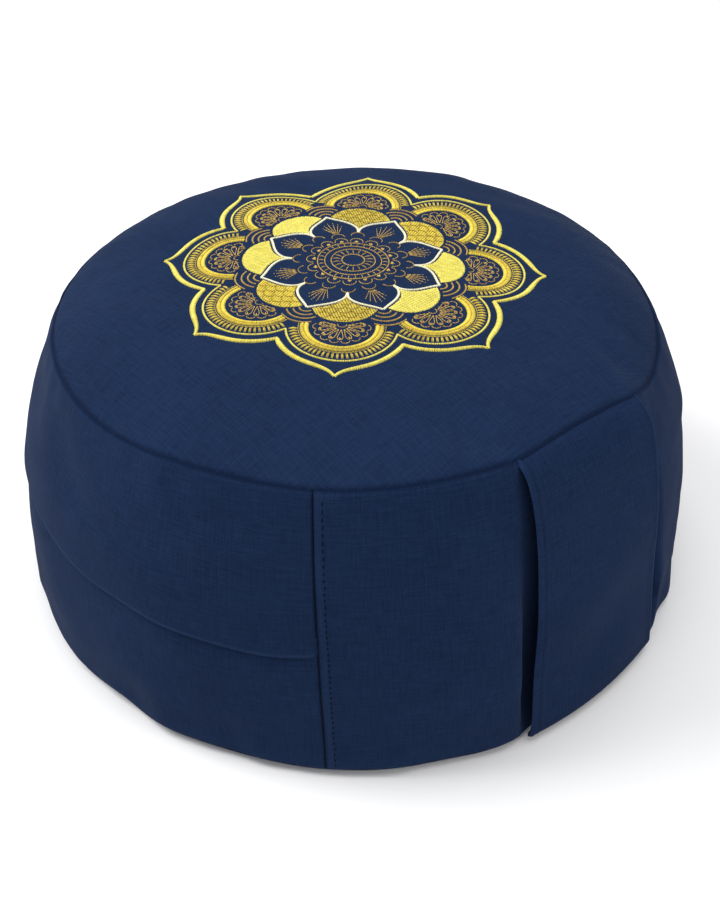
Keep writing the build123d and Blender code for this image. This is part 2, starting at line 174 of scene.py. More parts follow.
class Unevenness:
    """Smooth, seeded unevenness in space, as loose filling and handling leave in cloth."""

    def __init__(self, seed: int, wavelength: float, waves: int = 9) -> None:
        """Draw the waves.

        Args:
            seed: Seed of the random draw.
            wavelength: Typical distance between swellings, in millimetres.
            waves: How many waves are added up.
        """
        draw = np.random.default_rng(seed)
        way = draw.normal(size=(waves, 3))
        way /= np.linalg.norm(way, axis=1)[:, None]
        self.ways = way * (2 * math.pi / (wavelength * draw.uniform(0.7, 1.5, waves)))[:, None]
        self.phases = draw.uniform(0, 2 * math.pi, waves)

    def at(self, points: np.ndarray) -> np.ndarray:
        """Return the unevenness, about -1 to 1, at points in millimetres."""
        return np.sin(points @ self.ways.T + self.phases).sum(1) / math.sqrt(len(self.phases))


# ---------------------------------------------------------------- the stuffed shape


@dataclass
class Form:
    """The cushion's stuffed shape, which every layer follows at its own depth.

    Attributes:
        inset: How far this layer lies under the cover's outer face.
    """

    inset: float = 0.0
    seam_radius: float = 140.5
    crown_top: float = 157.8
    crown_power: float = 4.6
    base_seam: tuple[float, float] = (165.0, 5.0)
    seam_angle: float = -48.0

    # Height of the top seam around the cushion: the filling has settled towards the back
    SEAM_HEIGHTS = [
        (-175, 133.5), (-140, 134.5), (-112, 135.5), (-88, 137), (-68, 141), (-45, 141), (-22, 143.5),
        (0, 144), (13, 140.5), (24, 133), (50, 131.5), (85, 134.5), (125, 133),
    ]
    # Wall radius by height below a seam that stands at 138
    WALL = [(5, 165.6), (25, 165.2), (50, 162.9), (84, 157.8), (118, 148.2), (131, 143.7), (138, 140.5)]
    # How far out the flattened wall behind the handle stands, by height
    HOLLOW = [(5, 157), (25, 151), (50, 149), (75, 147.5), (100, 144.8), (122, 140.8), (138, 135.3)]
    HOLLOW_REACH = (39.0, 49.0)
    # Tall loose part of the wall, which takes up the difference in seam height
    STEADY_HEIGHT = 100.0
    # How far the base seam hangs below its drawn height
    SETTLED = 1.9
    ZIP_HEIGHT = 90.0
    # Side where the cover is slackest
    SLACK_ANGLE = -135.0

    def __post_init__(self) -> None:
        """Draw the unevenness once, the same for every layer."""
        self.swelling = Unevenness(7, 95.0)
        self.dimples = Unevenness(19, 34.0, 14)
        self.gather = Unevenness(31, 17.0, 16)

    def seam_height(self, angle: np.ndarray) -> np.ndarray:
        """Height of the top seam at angles in degrees."""
        return around(self.SEAM_HEIGHTS, angle) - self.inset

    def wall(self, angle: np.ndarray, height: np.ndarray, depth: np.ndarray | float = 0.0) -> np.ndarray:
        """Points on the side wall.

        Args:
            angle: Angles in degrees.
            height: Heights on a wall whose top seam stands at 138, from 5 to 138.
            depth: Distance inwards from this layer's face.

        Returns:
            Points in millimetres.
        """
        low, full = self.base_seam[1], 138.0
        share = (height - low) / (full - low)
        # the upright seams lean a little, and the wall near them with them
        lean = (1.4 - 2.2 * share) * np.exp(-(((angle - self.seam_angle) / 22.0) ** 2))
        turn = np.radians(angle + lean)
        radius = through(self.WALL, height) - self.inset - depth
        stretch = (self.seam_height(angle) + self.inset - self.STEADY_HEIGHT) / (full - self.STEADY_HEIGHT)
        rise = np.where(
            height > self.STEADY_HEIGHT, self.STEADY_HEIGHT + (height - self.STEADY_HEIGHT) * stretch, height
        )
        z = rise - self.inset * (2 * share - 1)
        x, y = radius * np.cos(turn), radius * np.sin(turn)
        spot = np.stack([160 * np.cos(turn), 160 * np.sin(turn), rise], -1)
        away_top, away_foot = full - height, height - low
        free = smooth_step(away_top / 30.0) * smooth_step(away_foot / 25.0)
        # the zip's tapes hold the cloth level, so that its slider has room all the way
        calm = 1.0 - 0.75 * np.exp(-(((height - self.ZIP_HEIGHT) / 10.0) ** 2))
        bulge = free * calm * (0.9 * self.swelling.at(spot) + 0.45 * self.dimples.at(spot))
        # the filling has slumped away from the top of this side
        slack = turned_from(angle, self.SLACK_ANGLE) / 28.0
        bulge = bulge - 1.8 * np.exp(-(slack**2) - ((height - 116.0) / 18.0) ** 2)
        # the cloth gathers a little along both round seams
        for away, size in ((away_top, 0.35), (away_foot, 0.6)):
            near = away / 7.0 * np.exp(1.0 - away / 7.0)
            flat_spot = spot * [1, 1, 0.15]
            bulge = bulge + size * near * self.gather.at(flat_spot)
        # upright seams draw the wall in along a narrow line
        for seam in (self.seam_angle, self.seam_angle + 180.0):
            across = turned_from(angle, seam) * PER_DEGREE
            bulge = bulge - 1.2 * np.exp(-((across / 0.6) ** 2)) - 0.3 * np.exp(-((across / 9.0) ** 2)) * free
            # the seam allowance, pressed to one side, makes a low ridge
            bulge = bulge + 0.5 * np.exp(-(((across - 2.6) / 1.4) ** 2)) * free
        # both round seams roll the cut edges inwards
        tuck = SEAM_TUCK * np.exp(-((away_top / SEAM_ROLL) ** 2)) + 1.2 * np.exp(-((away_foot / 1.6) ** 2))
        wavy = 1.2 * np.exp(-((away_foot / 30.0) ** 2)) * self.dimples.at(spot * [1, 1, 0.0])
        out = bulge - tuck + wavy
        x = x + out * np.cos(turn)
        y = y + out * np.sin(turn)
        # the weight of the filling presses the base seam down
        z = z - SEAM_TUCK * np.exp(-((away_top / SEAM_ROLL) ** 2))
        z = z - self.SETTLED * np.exp(-((away_foot / 14.0) ** 2))
        hollow = through(self.HOLLOW, height) - self.inset - depth
        near, far = self.HOLLOW_REACH
        near_handle = smooth_step((far - np.abs(y)) / (far - near))
        sunk = np.where(np.cos(turn) > 0, near_handle, 0.0) * np.maximum(x - hollow, 0.0)
        return np.stack([x - sunk, y, z], -1)

    def seam_points(self, angle: np.ndarray) -> np.ndarray:
        """Points of the top seam, where the wall and the crown meet."""
        return self.wall(angle, np.full(np.shape(angle), 138.0))

    def crown(self, share: np.ndarray, angle: np.ndarray) -> np.ndarray:
        """Points on the domed top.

        Args:
            share: Distance from the middle, as a share of the way to the seam.
            angle: Angles in degrees.

        Returns:
            Points in millimetres.
        """
        edge = self.seam_points(angle)
        x, y = edge[..., 0] * share, edge[..., 1] * share
        top = self.crown_top - self.inset
        return np.stack([x, y, self.crown_height(x, y, share, edge[..., 2], top)], -1)

    def crown_height(
        self, x: np.ndarray, y: np.ndarray, share: np.ndarray, edge: np.ndarray, top: float
    ) -> np.ndarray:
        """Height of the dome with its folds, gathers and unevenness."""
        z = top - (top - edge) * share**self.crown_power
        spot = np.stack([x, y, np.full(np.shape(x), 140.0)], -1)
        away = (1.0 - share) * self.seam_radius
        free = smooth_step(away / 35.0)
        z = z + free * (0.8 * self.swelling.at(spot) + 0.4 * self.dimples.at(spot))
        rim = spot / np.maximum(share, 0.05)[..., None] * [1, 1, 0]
        near = away / 8.0 * np.exp(1.0 - away / 8.0)
        z = z + 0.3 * near * self.gather.at(rim)
        lift = SEAM_TUCK * (1 - np.exp(-((away / SEAM_ROLL) ** 2)))
        fade = smooth_step(away / 14.0)
        for start, end, width, size in CROWN_FOLDS:
            z = z + size * fade * fold(x, y, start, end, width)
        return z + lift

    def crown_over(self, x: np.ndarray, y: np.ndarray) -> np.ndarray:
        """Height of the dome over points of the plan, in millimetres."""
        angle = np.degrees(np.arctan2(y, x))
        edge = self.seam_points(angle)
        share = np.clip(np.hypot(x, y) / np.hypot(edge[..., 0], edge[..., 1]), 0.0, 1.0)
        return self.crown_height(x, y, share, edge[..., 2], self.crown_top - self.inset)


def fold(
    x: np.ndarray, y: np.ndarray, start: tuple[float, float], end: tuple[float, float], width: float
) -> np.ndarray:
    """Weight of a soft fold that is strongest at its start and dies away at its end."""
    along = np.array(end) - np.array(start)
    length = float(np.hypot(*along))
    way = along / length
    run = ((x - start[0]) * way[0] + (y - start[1]) * way[1]) / length
    side = -(x - start[0]) * way[1] + (y - start[1]) * way[0]
    spread = width * (0.6 + np.clip(run, 0, 1))
    return smooth_step(1.15 - run) * smooth_step(run * 4 + 1.2) * np.exp(-((side / spread) ** 2))


# How deep and how wide the cut edges roll into the top seam
SEAM_TUCK = 0.9
SEAM_ROLL = 0.9

# Soft folds in the crown beside the handle's ends, and a shallow dimple at the front:
# start, end, width, height
CROWN_FOLDS = [
    ((134.0, -40.0), (84.0, -58.0), 7.0, -1.7),
    ((132.0, -52.0), (88.0, -72.0), 8.0, 1.0),
    ((135.0, -26.0), (98.0, -22.0), 7.0, 1.1),
    ((133.0, 41.0), (92.0, 50.0), 7.0, -1.3),
    ((135.0, 8.0), (104.0, 10.0), 8.0, -0.7),
    ((70.0, -104.0), (56.0, -84.0), 9.0, -1.1),
    ((-20.0, -136.0), (-16.0, -98.0), 9.0, 0.8),
    ((-92.0, -98.0), (-66.0, -74.0), 10.0, -0.8),
]


# ---------------------------------------------------------------- mesh helpers


def deselect_all() -> None:
    """Leave no object selected or active."""
    if bpy.context.object and bpy.context.object.mode != "OBJECT":
        bpy.ops.object.mode_set(mode="OBJECT")
    bpy.ops.object.select_all(action="DESELECT")


def make_active(piece: bpy.types.Object) -> None:
    """Select one object alone and make it active."""
    deselect_all()
    piece.select_set(True)
    bpy.context.view_layer.objects.active = piece


def coordinates(piece: bpy.types.Object) -> np.ndarray:
    """Vertex places of a mesh, in metres."""
    found = np.empty(len(piece.data.vertices) * 3)
    piece.data.vertices.foreach_get("co", found)
    return found.reshape(-1, 3)


def move_vertices(piece: bpy.types.Object, places: np.ndarray) -> None:
    """Put a mesh's vertices at new places, in metres."""
    piece.data.vertices.foreach_set("co", np.ascontiguousarray(places, float).ravel())
    piece.data.update()


def apply_modifier(piece: bpy.types.Object, kind: str, **settings: Any) -> None:
    """Add a modifier with its settings and apply it."""
    make_active(piece)
    modifier = piece.modifiers.new(kind.title(), kind)
    for key, value in settings.items():
        setattr(modifier, key, value)
    bpy.ops.object.modifier_apply(modifier=modifier.name)


def swept_cloth(
    name: str, start: tuple[float, float], end: tuple[float, float], rows: int, columns: int,
    sweep: tuple[float, float],
) -> bpy.types.Object:
    """Model a cloth by turning one divided edge about the upright axis.

    Args:
        name: Name of the piece.
        start: Radius and height where the edge starts, in millimetres.
        end: Radius and height where it ends.
        rows: Number of parts the edge is divided into.
        columns: Number of steps of the turn.
        sweep: First and last angle, in degrees.

    Returns:
        The mesh object, still in its plain turned shape.
    """
    deselect_all()
    bpy.ops.mesh.primitive_plane_add(size=2 * MM)
    piece = bpy.context.object
    piece.name = piece.data.name = name
    bpy.ops.object.mode_set(mode="EDIT")
    bpy.ops.mesh.select_all(action="DESELECT")
    bpy.ops.object.mode_set(mode="OBJECT")
    piece.data.vertices[2].select = True
    piece.data.vertices[3].select = True
    bpy.ops.object.mode_set(mode="EDIT")
    bpy.ops.mesh.delete(type="VERT")
    bpy.ops.object.mode_set(mode="OBJECT")
    turn = math.radians(sweep[0])
    ends = [(r * math.cos(turn) * MM, r * math.sin(turn) * MM, z * MM) for r, z in (start, end)]
    for vertex, place in zip(piece.data.vertices, ends):
        vertex.co = place
    bpy.ops.object.mode_set(mode="EDIT")
    bpy.ops.mesh.select_all(action="SELECT")
    bpy.ops.mesh.subdivide(number_cuts=rows - 1)
    bpy.ops.mesh.select_all(action="SELECT")
    bpy.ops.mesh.spin(
        steps=columns, angle=math.radians(sweep[1] - sweep[0]), center=(0, 0, 0), axis=(0, 0, -1)
    )
    bpy.ops.mesh.select_all(action="SELECT")
    bpy.ops.mesh.remove_doubles(threshold=0.01 * MM)
    bpy.ops.object.mode_set(mode="OBJECT")
    return piece


def turned_angles(places: np.ndarray, middle: float) -> np.ndarray:
    """Angles of points in degrees, unwrapped to lie around a middle angle."""
    angle = np.degrees(np.arctan2(places[:, 1], places[:, 0]))
    return middle + turned_from(angle, middle)


def lay_out(piece: bpy.types.Object, along: np.ndarray, across: np.ndarray) -> None:
    """Give a cloth its own flat layout in millimetres, as a UV map, from values at its vertices."""
    layer = piece.data.uv_layers.get("cloth") or piece.data.uv_layers.new(name="cloth")
    corner = np.empty(len(piece.data.loops), int)
    piece.data.loops.foreach_get("vertex_index", corner)
    layer.data.foreach_set("uv", np.stack([along[corner], across[corner]], 1).ravel())


def mark(piece: bpy.types.Object, name: str, values: np.ndarray) -> None:
    """Store one number at each vertex of a piece, for its material to read."""
    layer = piece.data.attributes.get(name) or piece.data.attributes.new(name, "FLOAT", "POINT")
    layer.data.foreach_set("value", values.astype(np.float32))


def face_out(piece: bpy.types.Object, wanted: Callable[[np.ndarray], np.ndarray]) -> None:
    """Turn a cloth's faces so that most look the wanted way.

    Args:
        piece: The cloth, before it has a thickness.
        wanted: Gives the outward way at face centres.
    """
    count = len(piece.data.polygons)
    normals, centres = np.empty(count * 3), np.empty(count * 3)
    piece.data.polygons.foreach_get("normal", normals)
    piece.data.polygons.foreach_get("center", centres)
    centres = centres.reshape(-1, 3)
    if (normals.reshape(-1, 3) * wanted(centres)).sum() < 0:
        piece.data.flip_normals()


def outward(centres: np.ndarray) -> np.ndarray:
    """Away from the upright axis."""
    return centres * [1, 1, 0]


def upward(centres: np.ndarray) -> np.ndarray:
    """Straight up."""
    return np.zeros_like(centres) + [0, 0, 1]


def downward(centres: np.ndarray) -> np.ndarray:
    """Straight down."""
    return np.zeros_like(centres) - [0, 0, 1]


def finish_cloth(piece: bpy.types.Object, thickness: float, finish: bpy.types.Material) -> None:
    """Give a cloth its thickness inwards, smooth shading and material."""
    apply_modifier(piece, "SOLIDIFY", thickness=thickness * MM, offset=-1.0)
    make_active(piece)
    bpy.ops.object.shade_smooth_by_angle(angle=math.radians(50))
    piece.data.materials.clear()
    piece.data.materials.append(finish)


def placed(piece: bpy.types.Object, body: Body, slot: str, *nodes: str) -> bpy.types.Object:
    """Let a finished piece ride on its body and stand for its CAD nodes."""
    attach(piece, body.value)
    if nodes:
        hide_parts(*nodes)
    log.info("%s: %d faces", piece.name, len(piece.data.polygons))
    return piece


# ---------------------------------------------------------------- finishes


@dataclass(frozen=True)
class CanvasFinish:
    """Plain-woven cotton cloth, piece-dyed: matt, with a fine grid of threads and slubs."""

    name: str
    colour: str
    light_tone: str
    pitch: float = 0.95  # real canvas threads lie 0.5 mm apart; drawn coarser so that they show
    bump: float = 0.18
    sheen: float = 0.015

    def build(self) -> bpy.types.Material:
        """Make the material."""
        made, tree = new_material(self.name)
        flat = add_node(tree, "ShaderNodeUVMap", {"uv_map": "cloth"})
        parts = add_node(tree, "ShaderNodeSeparateXYZ", inputs={0: flat.outputs[0]})
        waves = []
        for axis in (0, 1):
            turn = add_node(tree, "ShaderNodeMath", {"operation": "MULTIPLY"},
                            {0: parts.outputs[axis], 1: math.pi / self.pitch})
            waves.append(add_node(tree, "ShaderNodeMath", {"operation": "SINE"}, {0: turn.outputs[0]}))
        cross = add_node(tree, "ShaderNodeMath", {"operation": "MULTIPLY"},
                         {0: waves[0].outputs[0], 1: waves[1].outputs[0]})
        bumps = add_node(tree, "ShaderNodeMath", {"operation": "ABSOLUTE"}, {0: cross.outputs[0]})
        # slubs: thicker stretches of yarn along the warp and along the weft
        slubs = []
        for stretch in ((0.09, 1.1, 1.0), (1.1, 0.09, 1.0)):
            run = add_node(tree, "ShaderNodeMapping", inputs={"Vector": flat.outputs[0], "Scale": stretch})
            slubs.append(add_node(tree, "ShaderNodeTexNoise",
                                  inputs={"Vector": run.outputs[0], "Scale": 1.0, "Detail": 2.0}))
        slub = add_node(tree, "ShaderNodeMath", {"operation": "ADD"},
                        {0: slubs[0].outputs[0], 1: slubs[1].outputs[0]})
        spot = add_node(tree, "ShaderNodeTexCoord")
        cloudy = add_node(tree, "ShaderNodeTexNoise",
                          inputs={"Vector": spot.outputs["Object"], "Scale": 22.0, "Detail": 3.0})
        fuzz = add_node(tree, "ShaderNodeTexNoise",
                        inputs={"Vector": spot.outputs["Object"], "Scale": 900.0, "Detail": 2.0})
        shade = add_node(tree, "ShaderNodeMath", {"operation": "MULTIPLY_ADD"},
                         {0: slub.outputs[0], 1: 0.55, 2: -0.55})
        for source, weight in ((bumps, 0.1), (cloudy, 0.35), (fuzz, 0.3)):
            shade = add_node(tree, "ShaderNodeMath", {"operation": "MULTIPLY_ADD"},
                             {0: source.outputs[0], 1: weight, 2: shade.outputs[0]})
        # lighter on seam ridges and edges, a painted highlight on the lap's fold, and painted shade in seam
        # lines and stitch grooves where the value is below zero
        edge_tone_and_painted_light = add_node(tree, "ShaderNodeAttribute", {"attribute_name": "edge_tone_and_painted_light"})
        shade = add_node(tree, "ShaderNodeMath", {"operation": "MULTIPLY_ADD", "use_clamp": True},
                         {0: edge_tone_and_painted_light.outputs["Fac"], 1: 0.5, 2: shade.outputs[0]})
        tint = add_node(tree, "ShaderNodeMix", {"data_type": "RGBA"},
                        {0: shade.outputs[0], 6: linear(self.colour), 7: linear(self.light_tone)})
        height = add_node(tree, "ShaderNodeMath", {"operation": "MULTIPLY_ADD"},
                          {0: slub.outputs[0], 1: 0.6, 2: bumps.outputs[0]})
        relief = add_node(tree, "ShaderNodeBump",
                          inputs={"Strength": self.bump, "Distance": 0.35 * MM, "Height": height.outputs[0]})
        shader = add_node(tree, "ShaderNodeBsdfPrincipled", inputs={
            "Base Color": tint.outputs[2], "Roughness": 0.9, "Specular IOR Level": 0.04,
            "Sheen Weight": self.sheen, "Sheen Roughness": 0.45, "Normal": relief.outputs[0]})
        add_node(tree, "ShaderNodeOutputMaterial", inputs={0: shader.outputs[0]})
        return made


@dataclass(frozen=True)
class ThreadFinish:
    """Twisted thread: each stitch a little lighter or darker, with the soft lustre of rayon."""

    name: str
    dark: str
    light: str
    roughness: float = 0.42
    sheen: float = 0.15
    specular: float = 0.5

    def build(self) -> bpy.types.Material:
        """Make the material."""
        made, tree = new_material(self.name)
        strand = add_node(tree, "ShaderNodeAttribute", {"attribute_name": "strand"})
        spot = add_node(tree, "ShaderNodeTexCoord")
        # plies of the twist, 0.25 mm apart
        twist = add_node(tree, "ShaderNodeTexNoise",
                         inputs={"Vector": spot.outputs["Object"], "Scale": 2500.0, "Detail": 1.0})
        cloudy = add_node(tree, "ShaderNodeTexNoise",
                          inputs={"Vector": spot.outputs["Object"], "Scale": 90.0, "Detail": 2.0})
        mixed = add_node(tree, "ShaderNodeMath", {"operation": "MULTIPLY_ADD"},
                         {0: cloudy.outputs[0], 1: 0.5, 2: -0.25})
        mixed = add_node(tree, "ShaderNodeMath", {"operation": "ADD", "use_clamp": True},
                         {0: mixed.outputs[0], 1: strand.outputs["Fac"]})
        tint = add_node(tree, "ShaderNodeMix", {"data_type": "RGBA"},
                        {0: mixed.outputs[0], 6: linear(self.dark), 7: linear(self.light)})
        relief = add_node(tree, "ShaderNodeBump",
                          inputs={"Strength": 0.3, "Distance": 0.1 * MM, "Height": twist.outputs[0]})
        shader = add_node(tree, "ShaderNodeBsdfPrincipled", inputs={
            "Base Color": tint.outputs[2], "Roughness": self.roughness, "Specular IOR Level": self.specular,
            "Sheen Weight": self.sheen, "Sheen Roughness": 0.3, "Normal": relief.outputs[0]})
        add_node(tree, "ShaderNodeOutputMaterial", inputs={0: shader.outputs[0]})
        return made


@dataclass(frozen=True)
class HardFinish:
    """Moulded or enamelled hard surface with a faint unevenness of gloss."""

    name: str
    colour: str
    light_tone: str
    roughness: float
    metallic: float = 0.0
    grain: float = 700.0

    def build(self) -> bpy.types.Material:
        """Make the material."""
        made, tree = new_material(self.name)
        spot = add_node(tree, "ShaderNodeTexCoord")
        grain = add_node(tree, "ShaderNodeTexNoise",
                         inputs={"Vector": spot.outputs["Object"], "Scale": self.grain, "Detail": 3.0})
        tint = add_node(tree, "ShaderNodeMix", {"data_type": "RGBA"},
                        {0: grain.outputs[0], 6: linear(self.colour), 7: linear(self.light_tone)})
        gloss = add_node(tree, "ShaderNodeMapRange", inputs={
            "Value": grain.outputs[0], "To Min": self.roughness - 0.08, "To Max": self.roughness + 0.08})
        relief = add_node(tree, "ShaderNodeBump",
                          inputs={"Strength": 0.15, "Distance": 0.05 * MM, "Height": grain.outputs[0]})
        shader = add_node(tree, "ShaderNodeBsdfPrincipled", inputs={
            "Base Color": tint.outputs[2], "Roughness": gloss.outputs[0], "Metallic": self.metallic,
            "Normal": relief.outputs[0]})
        add_node(tree, "ShaderNodeOutputMaterial", inputs={0: shader.outputs[0]})
        return made


NAVY_CANVAS = CanvasFinish("navy cotton canvas, plain weave", "0f1c35", "203354")
CALICO = CanvasFinish("unbleached calico, plain weave", "b9ab8a", "d8ccb0", pitch=0.6)
# navy thread drawn darker than the cloth: partly its own colour, partly painted shade of the stitch holes it
# sinks into
NAVY_THREAD = ThreadFinish("navy spun polyester thread", "050914", "0c1427", 0.8, 0.0, 0.05)
LEMON_THREAD = ThreadFinish("lemon rayon thread", "bfae2c", "f4ea70")
GOLD_THREAD = ThreadFinish("golden yellow rayon thread", "9c8116", "f0da48")
OCHRE_THREAD = ThreadFinish("ochre brown rayon thread", "80601f", "d9b552")
CREAM_THREAD = ThreadFinish("cream rayon thread", "cfc79c", "fbf8dc")
ZIP_TAPE = HardFinish("woven polyester zip tape, navy", "10172e", "1e2848", 0.85, grain=1400.0)
ZIP_COIL = HardFinish("polyester monofilament coil, navy", "0e1428", "1d2745", 0.4)
ZIP_ENAMEL = HardFinish("die-cast zinc, navy enamel", "0f1630", "1b2548", 0.3, 0.2)
HUSK = HardFinish("loose dry grain husks", "4a3318", "a98a56", 0.8, grain=260.0)


# ---------------------------------------------------------------- stitches


class Thread(Enum):
    """Thread colours of the embroidery, with their finishes and record slots."""

    LEMON = ("lemon_thread", LEMON_THREAD)
    GOLD = ("gold_thread", GOLD_THREAD)
    OCHRE = ("ochre_thread", OCHRE_THREAD)
    CREAM = ("cream_thread", CREAM_THREAD)
    NAVY = ("navy_thread", NAVY_THREAD)


# One stitch: a low closed arch of thread, with its length along X from 0 to 1, one wide and one high
STITCH_POINTS = np.array([
    (0.0, -0.3, -0.3), (0.0, 0.3, -0.3), (0.0, 0.0, 0.1),
    (0.5, -0.5, 0.0), (0.5, 0.5, 0.0), (0.5, -0.22, 1.0), (0.5, 0.22, 1.0),
    (1.0, -0.3, -0.3), (1.0, 0.3, -0.3), (1.0, 0.0, 0.1),
])
STITCH_FACES = [
    [0, 2, 1], [0, 3, 5, 2], [2, 5, 6], [2, 6, 4, 1], [0, 1, 4, 3],
    [7, 8, 9], [3, 7, 9, 5], [5, 9, 6], [6, 9, 8, 4], [3, 4, 8, 7],
]


class StitchWork:
    """Collects stitches of one thread and turns them into one mesh that lies on a surface."""

    def __init__(self, seed: int) -> None:
        """Start with no stitches.

        Args:
            seed: Seed for the small differences between stitches.
        """
        self.draw = np.random.default_rng(seed)
        self.starts: list[np.ndarray] = []
        self.ends: list[np.ndarray] = []
        self.widths: list[float] = []
        self.heights: list[float] = []
        self.levels: list[float] = []
        self.tones: list[float] = []

    def add(
        self, start: np.ndarray, end: np.ndarray, width: float = 0.5, height: float = 0.4,
        level: float = 0.0, tone: float = 0.5,
    ) -> None:
        """Add one stitch between two points of the plan.

        Args:
            start: First point, in millimetres.
            end: Last point.
            width: Width of the thread.
            height: Height of the arch over its ends.
            level: Height of the stitch's foot over the cloth.
            tone: Lightness from 0 to 1, to which a little chance is added.
        """
        self.starts.append(np.asarray(start, float))
        self.ends.append(np.asarray(end, float))
        self.widths.append(width)
        self.heights.append(height)
        self.levels.append(level)
        self.tones.append(float(np.clip(tone + self.draw.normal(0, 0.12), 0, 1)))

    def run(
        self, path: np.ndarray, length: float = 1.7, width: float = 0.6, height: float = 0.4,
        level: float = 0.0, tone: float = 0.5,
    ) -> None:
        """Sew a line of stitches end to end along a path."""
        for start, end in zip(*spaced_pairs(path, length)):
            over = (end - start) * 0.12
            self.add(start - over, end + over, width, height, level, tone)

    def satin(
        self, path: np.ndarray, width: Callable[[np.ndarray], np.ndarray] | float, pitch: float = 0.42,
        height: float = 0.55, tone: float = 0.5, slant: float = 0.25, level: float = 0.0,
    ) -> None:
        """Sew close stitches across a path.

        Args:
            path: Points of the centre line.
            width: Width of the satin, or a function of the share of the path.
            pitch: Distance between stitches.
            height: Height of the satin's crown.
            tone: Lightness from 0 to 1.
            slant: How far each stitch leans along the path, as a share of its width.
            level: Height of the stitches' feet over the cloth.
        """
        starts, ends = spaced_pairs(path, pitch)
        middle = (starts + ends) / 2
        way = (ends - starts) / np.maximum(np.linalg.norm(ends - starts, axis=1), 1e-9)[:, None]
        side = np.stack([-way[:, 1], way[:, 0]], 1)
        share = np.linspace(0, 1, len(middle))
        half = (width(share) if callable(width) else np.full(len(middle), width)) / 2
        for centre, along, across, reach in zip(middle, way, side, half):
            shift = across * reach + along * reach * slant
            wobble = along * self.draw.normal(0, 0.04)
            self.add(centre - shift + wobble, centre + shift + wobble, 0.5, height, level, tone)

    def mesh(
        self, name: str, over: Callable[[np.ndarray, np.ndarray], np.ndarray], thread: Thread
    ) -> bpy.types.Object:
        """Make the mesh of all stitches.

        Args:
            name: Name of the piece.
            over: Gives the cloth's height over points of the plan, in millimetres.
            thread: The thread's colour.

        Returns:
            The finished mesh object.
        """
        start, end = np.array(self.starts), np.array(self.ends)
        along = end - start
        length = np.maximum(np.linalg.norm(along, axis=1), 1e-6)
        side = np.stack([-along[:, 1], along[:, 0]], 1) / length[:, None]
        unit = STITCH_POINTS
        plan = (
            start[:, None] + along[:, None] * unit[None, :, :1]
            + side[:, None] * unit[None, :, 1:2] * np.array(self.widths)[:, None, None]
        )
        lift = np.array(self.levels)[:, None] + np.array(self.heights)[:, None] * unit[None, :, 2]
        flat = plan.reshape(-1, 2)
        z = over(flat[:, 0], flat[:, 1]) + lift.ravel()
        return stitch_piece(name, np.column_stack([flat, z]), self.tones, thread)


def stitch_piece(name: str, points: np.ndarray, tones: list[float], thread: Thread,
                 smooth: bool = True) -> bpy.types.Object:
    """Make one mesh of many stitches.

    Args:
        name: Name of the piece.
        points: Points of all stitches in turn, in millimetres.
        tones: Lightness of each stitch.
        thread: The thread's colour.
        smooth: Whether the stitches are shaded round.

    Returns:
        The finished mesh object.
    """
    size = len(STITCH_POINTS)
    data = bpy.data.meshes.new(name)
    faces = [[v + k * size for v in face] for k in range(len(tones)) for face in STITCH_FACES]
    data.from_pydata((points * MM).tolist(), [], faces)
    piece = bpy.data.objects.new(name, data)
    bpy.context.scene.collection.objects.link(piece)
    mark(piece, "strand", np.repeat(tones, size))
    data.materials.append(finishes()[thread])
    if smooth:
        make_active(piece)
        bpy.ops.object.shade_smooth()
    return piece


# Topstitching in millimetres: distance between stitches, their length and the thread's width
HEM_PITCH = 2.9
HEM_STITCH = 2.0
HEM_THREAD = 0.62

MADE: dict[Thread, bpy.types.Material] = {}


def finishes() -> dict[Thread, bpy.types.Material]:
    """The thread materials, made once."""
    if not MADE:
        for thread in Thread:
            MADE[thread] = thread.value[1].build()
    return MADE


def spaced_pairs(path: np.ndarray, pitch: float) -> tuple[np.ndarray, np.ndarray]:
    """Cut a path into equal lengths.

    Args:
        path: Points of the path.
        pitch: Wanted length of each cut.

    Returns:
        The start points and the end points of the cuts.
    """
    steps = np.linalg.norm(np.diff(path, axis=0), axis=1)
    run = np.concatenate([[0.0], np.cumsum(steps)])
    count = max(1, int(round(run[-1] / pitch)))
    at = np.linspace(0, run[-1], count + 1)
    spots = np.stack([np.interp(at, run, path[:, k]) for k in range(path.shape[1])], 1)
    return spots[:-1], spots[1:]


def arc(centre: tuple[float, float], radius: float, first: float, last: float, steps: int = 40) -> np.ndarray:
    """Points of an arc about a centre, with angles in degrees."""
    turn = np.radians(np.linspace(first, last, steps))
    return np.stack([centre[0] + radius * np.cos(turn), centre[1] + radius * np.sin(turn)], 1)


def bezier(points: list[tuple[float, float]], steps: int = 24) -> np.ndarray:
    """Points of a cubic curve with four control points."""
    t = np.linspace(0, 1, steps)[:, None]
    a, b, c, d = (np.array(p, float) for p in points)
    return (1 - t) ** 3 * a + 3 * (1 - t) ** 2 * t * b + 3 * (1 - t) * t**2 * c + t**3 * d


def rotated(points: np.ndarray, degrees: float) -> np.ndarray:
    """Turn plan points about the middle of the motif."""
    turn = math.radians(degrees)
    return points @ np.array([[math.cos(turn), math.sin(turn)], [-math.sin(turn), math.cos(turn)]])


# ---------------------------------------------------------------- embroidery


